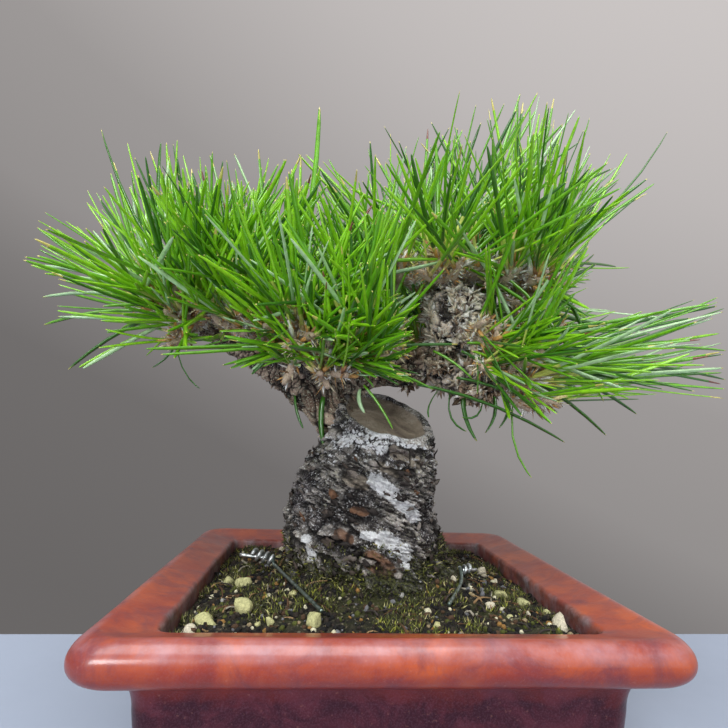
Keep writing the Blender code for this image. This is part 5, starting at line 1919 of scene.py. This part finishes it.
    def make_shoot_scales(self, shoots, twigs):
        """Scales round each shoot, orange-brown with white fringes, and paler ones along the twigs."""
        points, faces = template(dry_scale)
        rng = np.random.default_rng(77)
        spots, ways = [], []
        for foot, direction, reach, twig, *_ in shoots:
            count = 46 if twig is None else 24
            side = np.array(direction.orthogonal().normalized())
            way = np.array(direction)
            other = np.cross(way, side)
            angle = rng.uniform(0, 2 * math.pi, count)
            out = side * np.cos(angle)[:, None] + other * np.sin(angle)[:, None]
            share = rng.uniform(-0.25, 0.95, count)[:, None]
            spots.append(np.array(foot) + way * reach * share + out * 1.2 * MM)
            ways.append(out * (1.25 - 0.8 * share) + way * 0.75 + rng.normal(scale=0.3, size=out.shape))
        budded = sum(map(len, spots))
        for chain in twigs:
            places = samples_on(chain, 0.9 * MM)
            axis = np.array((chain[-1][0] - chain[0][0]).normalized())
            base = np.repeat([point for point, _ in places], 3, 0)
            radius = np.repeat([radius for _, radius in places], 3)[:, None]
            out = unit(np.cross(rng.normal(size=base.shape), axis))
            spots.append(base + out * radius * 0.85)
            ways.append(out * 0.7 + axis * rng.uniform(0.1, 1.3, radius.shape) + rng.normal(scale=0.3, size=out.shape))
        spots, ways = np.vstack(spots), np.vstack(ways)
        count = len(spots)
        tall = rng.uniform(1.6, 4.2, count) * MM
        tall[budded:] *= 0.7
        wide = rng.uniform(0.28, 0.6, count) * MM
        frames = frames_along(ways, rng.uniform(0, 6.3, count), np.column_stack([wide, wide * 0.6, tall]))
        shades = ((0.84, 0.46, 0.16), (0.55, 0.31, 0.15), (0.95, 0.83, 0.53), (0.99, 0.97, 0.88), (0.32, 0.18, 0.09))
        finishes = [grain_finish(f"bud_{i}", shade, 0.8) for i, shade in enumerate(shades)]
        picks = rng.choice(5, count, p=(0.24, 0.08, 0.30, 0.34, 0.04))
        picks[budded:] = rng.choice(5, count - budded, p=(0.08, 0.12, 0.32, 0.42, 0.06))
        shape = scattered(points, frames, spots)
        for name, part in (("shoot_scales", slice(0, budded)), ("twig_scales", slice(budded, None))):
            keep_piece(joined(name, shape[part], faces, picks[part], finishes), "bough_bark")


# Tie wires


def wire_tube(name, run, radius, finish, *nodes):
    """A round wire along a run of points, closed at its ends."""
    curve = bpy.data.curves.new(name, "CURVE")
    curve.dimensions = "3D"
    curve.bevel_depth = radius
    curve.use_fill_caps = True
    curve.bevel_resolution = 4
    spline = curve.splines.new("POLY")
    spline.points.add(len(run) - 1)
    for knot, place in zip(spline.points, run.tolist()):
        knot.co = (*place, 1)
    bm = tube_mesh(curve)
    return keep_piece(object_from(bm, name, [finish]), "wire", *nodes)


class BONSAI_OT_tie_wires(bpy.types.Operator):
    """Build the coiled wires that tie the root ball down"""

    bl_idname = "bonsai.tie_wires"
    bl_label = "Tie wires"

    def execute(self, context):
        bright = wire_finish("galvanised_wire", (0.26, 0.28, 0.28), (0.62, 0.65, 0.65), (0.9, 0.92, 0.92))
        dull = wire_finish("weathered_wire", (0.10, 0.14, 0.12), (0.25, 0.31, 0.28), (0.42, 0.48, 0.46))
        edge = inner_half(context.scene.bonsai_pot) - 0.25 * MM
        for name, ((stub, start, end), (wide, turns), rod) in TIE_WIRES.items():
            stub, start, end = (np.array(point) * MM for point in (stub, start, end))
            way = unit(end - start)
            side = unit(np.cross(way, (0, 0, 1)))
            up = np.cross(side, way)
            share = np.linspace(0, 1, 90)[:, None]
            angle = share * turns * 2 * math.pi
            coil = start + (end - start) * share + (side * np.cos(angle) + up * np.sin(angle)) * wide * MM
            wire_tube(name + "_coil", coil, WIRE_RADIUS * 1.1, bright)
            core = start + (end - start) * 0.8
            wire_tube(name + "_stub", stub + (core - stub) * np.linspace(0, 1, 8)[:, None], WIRE_RADIUS, bright)
            path = smooth_path([(*place, 1) for place in rod], 0.8 * MM)[:, :3]
            path[:, 2] = np.maximum(path[:, 2], ground_height(path[:, :2], edge) + 0.2 * MM)
            wire_tube(name + "_rod", np.vstack([coil[-1:], path]), WIRE_RADIUS, dull, name)
        return {"FINISHED"}


# Stage


class BONSAI_OT_stage(bpy.types.Operator):
    """Set up the floor, the lights and the camera"""

    bl_idname = "bonsai.stage"
    bl_label = "Stage"

    def execute(self, context):
        settings = context.scene.bonsai_stage
        bm = bmesh.new()
        bmesh.ops.create_cube(bm, size=1)
        bmesh.ops.scale(bm, vec=TABLE_SIZE, verts=bm.verts)
        bmesh.ops.translate(bm, vec=(0, TABLE_EDGE_Y - TABLE_SIZE[1] / 2, -TABLE_SIZE[2] / 2), verts=bm.verts)
        turn = Matrix.Rotation(TABLE_TURN, 3, "Z")
        bmesh.ops.rotate(bm, cent=(0, TABLE_EDGE_Y, 0), matrix=turn, verts=bm.verts)
        bmesh.ops.bevel(bm, geom=bm.edges, offset=2 * MM, segments=4, profile=0.5, affect="EDGES", material=-1)
        floor = object_from(bm, "floor", [self.floor_finish(settings)], False)
        self.make_air(settings)
        self.make_light("key_light", (-0.12, -0.34, 0.88), 0.7, settings.key_power)
        self.make_light("fill_light", (0.7, -0.75, 0.35), 0.9, settings.fill_power)
        self.make_light("front_light", (-0.30, -0.62, 0.27), 0.16, settings.front_power)
        self.make_camera()
        context.scene.view_settings.view_transform = "Standard"
        return {"FINISHED"}

    def floor_finish(self, settings):
        """Pale painted table top."""
        f = Finish("pale_floor")
        base = f.mix(f.clouds(30, 4), settings.floor, [min(1, 1.06 * v) for v in settings.floor])
        f.relief((f.clouds(700, 3), 0.1, 0.0003))
        return f.paint(base, f.level(f.clouds(90), 0.3, 0.7, 0.7, 0.85))

    def make_air(self, settings):
        """Grey surroundings, lighter above and to the right."""
        world = bpy.data.worlds.new("air")
        world.use_nodes = True
        tree = world.node_tree
        back = tree.nodes["Background"]
        coords = tree.nodes.new("ShaderNodeTexCoord")
        rise = tree.nodes.new("ShaderNodeVectorMath")
        rise.operation = "DOT_PRODUCT"
        rise.inputs[1].default_value = AIR_AXIS
        ramp = tree.nodes.new("ShaderNodeValToRGB")
        marks = ramp.color_ramp.elements
        while len(marks) < len(AIR_STEPS):
            marks.new(0.5)
        for mark, (place, share) in zip(marks, AIR_STEPS):
            mark.position = place
            mark.color = (*[share * v for v in settings.air], 1)
        spread = tree.nodes.new("ShaderNodeMapRange")
        spread.inputs["From Min"].default_value = -1
        tree.links.new(coords.outputs["Generated"], rise.inputs[0])
        tree.links.new(rise.outputs["Value"], spread.inputs["Value"])
        tree.links.new(spread.outputs["Result"], ramp.inputs[0])
        tree.links.new(ramp.outputs[0], back.inputs["Color"])
        back.inputs["Strength"].default_value = 1.0
        bpy.context.scene.world = world

    def make_light(self, name, place, size, power):
        """A large soft light that faces the tree."""
        light = bpy.data.lights.new(name, "AREA")
        light.shape = "SQUARE"
        light.size = size
        light.energy = power
        light.color = (0.94, 0.97, 1.0)
        obj = bpy.data.objects.new(name, light)
        obj.location = place
        obj.rotation_euler = (Vector((0, 0, 0.12)) - Vector(place)).to_track_quat("-Z", "Y").to_euler()
        bpy.context.scene.collection.objects.link(obj)

    def make_camera(self):
        """The camera that took the picture."""
        data = bpy.data.cameras.new("camera")
        data.sensor_width = SENSOR_WIDTH
        data.lens = PHOTO_FOCAL_PIXELS / PHOTO_PIXELS * SENSOR_WIDTH
        data.clip_start, data.clip_end = 0.01, 10
        camera = bpy.data.objects.new("camera", data)
        ahead = Vector((math.sin(CAMERA_YAW), math.cos(CAMERA_YAW), 0))
        right = Vector((math.cos(CAMERA_YAW), -math.sin(CAMERA_YAW), 0))
        up = -math.sin(CAMERA_PITCH) * ahead + math.cos(CAMERA_PITCH) * Vector((0, 0, 1))
        ahead = math.cos(CAMERA_PITCH) * ahead + math.sin(CAMERA_PITCH) * Vector((0, 0, 1))
        rolled = math.cos(CAMERA_ROLL) * right + math.sin(CAMERA_ROLL) * up
        up = -math.sin(CAMERA_ROLL) * right + math.cos(CAMERA_ROLL) * up
        turn = Matrix((rolled, up, -ahead)).transposed()
        camera.matrix_world = Matrix.Translation(Vector(VIEW_PLACE)) @ turn.to_4x4()
        bpy.context.scene.collection.objects.link(camera)
        bpy.context.scene.camera = camera


OPERATORS = (
    BONSAI_OT_pot,
    BONSAI_OT_screen,
    BONSAI_OT_ground,
    BONSAI_OT_trunk,
    BONSAI_OT_boughs,
    BONSAI_OT_foliage,
    BONSAI_OT_tie_wires,
    BONSAI_OT_stage,
)
SETTINGS = {
    "bonsai_pot": PotSettings,
    "bonsai_soil": SoilSettings,
    "bonsai_bark": BarkSettings,
    "bonsai_needles": NeedleSettings,
    "bonsai_stage": StageSettings,
}


class BONSAI_PT_panel(bpy.types.Panel):
    """The bonsai's settings and build steps"""

    bl_label = "Black pine bonsai"
    bl_idname = "BONSAI_PT_panel"
    bl_space_type = "VIEW_3D"
    bl_region_type = "UI"
    bl_category = "Bonsai"

    def draw(self, context):
        for operator in OPERATORS:
            self.layout.operator(operator.bl_idname)
        for name, group in SETTINGS.items():
            box = self.layout.box()
            box.label(text=group.__doc__)
            for key in group.__annotations__:
                box.prop(getattr(context.scene, name), key)


def register():
    for group in SETTINGS.values():
        bpy.utils.register_class(group)
    for name, group in SETTINGS.items():
        setattr(bpy.types.Scene, name, PointerProperty(type=group))
    for operator in OPERATORS:
        bpy.utils.register_class(operator)
    bpy.utils.register_class(BONSAI_PT_panel)


def unregister():
    bpy.utils.unregister_class(BONSAI_PT_panel)
    for operator in reversed(OPERATORS):
        bpy.utils.unregister_class(operator)
    for name in SETTINGS:
        delattr(bpy.types.Scene, name)
    for group in reversed(SETTINGS.values()):
        bpy.utils.unregister_class(group)


def main():
    """Builds every piece in order."""
    register()
    bpy.ops.bonsai.pot()
    bpy.ops.bonsai.screen()
    bpy.ops.bonsai.ground()
    bpy.ops.bonsai.trunk()
    bpy.ops.bonsai.boughs()
    bpy.ops.bonsai.foliage()
    bpy.ops.bonsai.tie_wires()
    bpy.ops.bonsai.stage()
    bpy.context.view_layer.update()


if __name__ == "__main__":
    main()
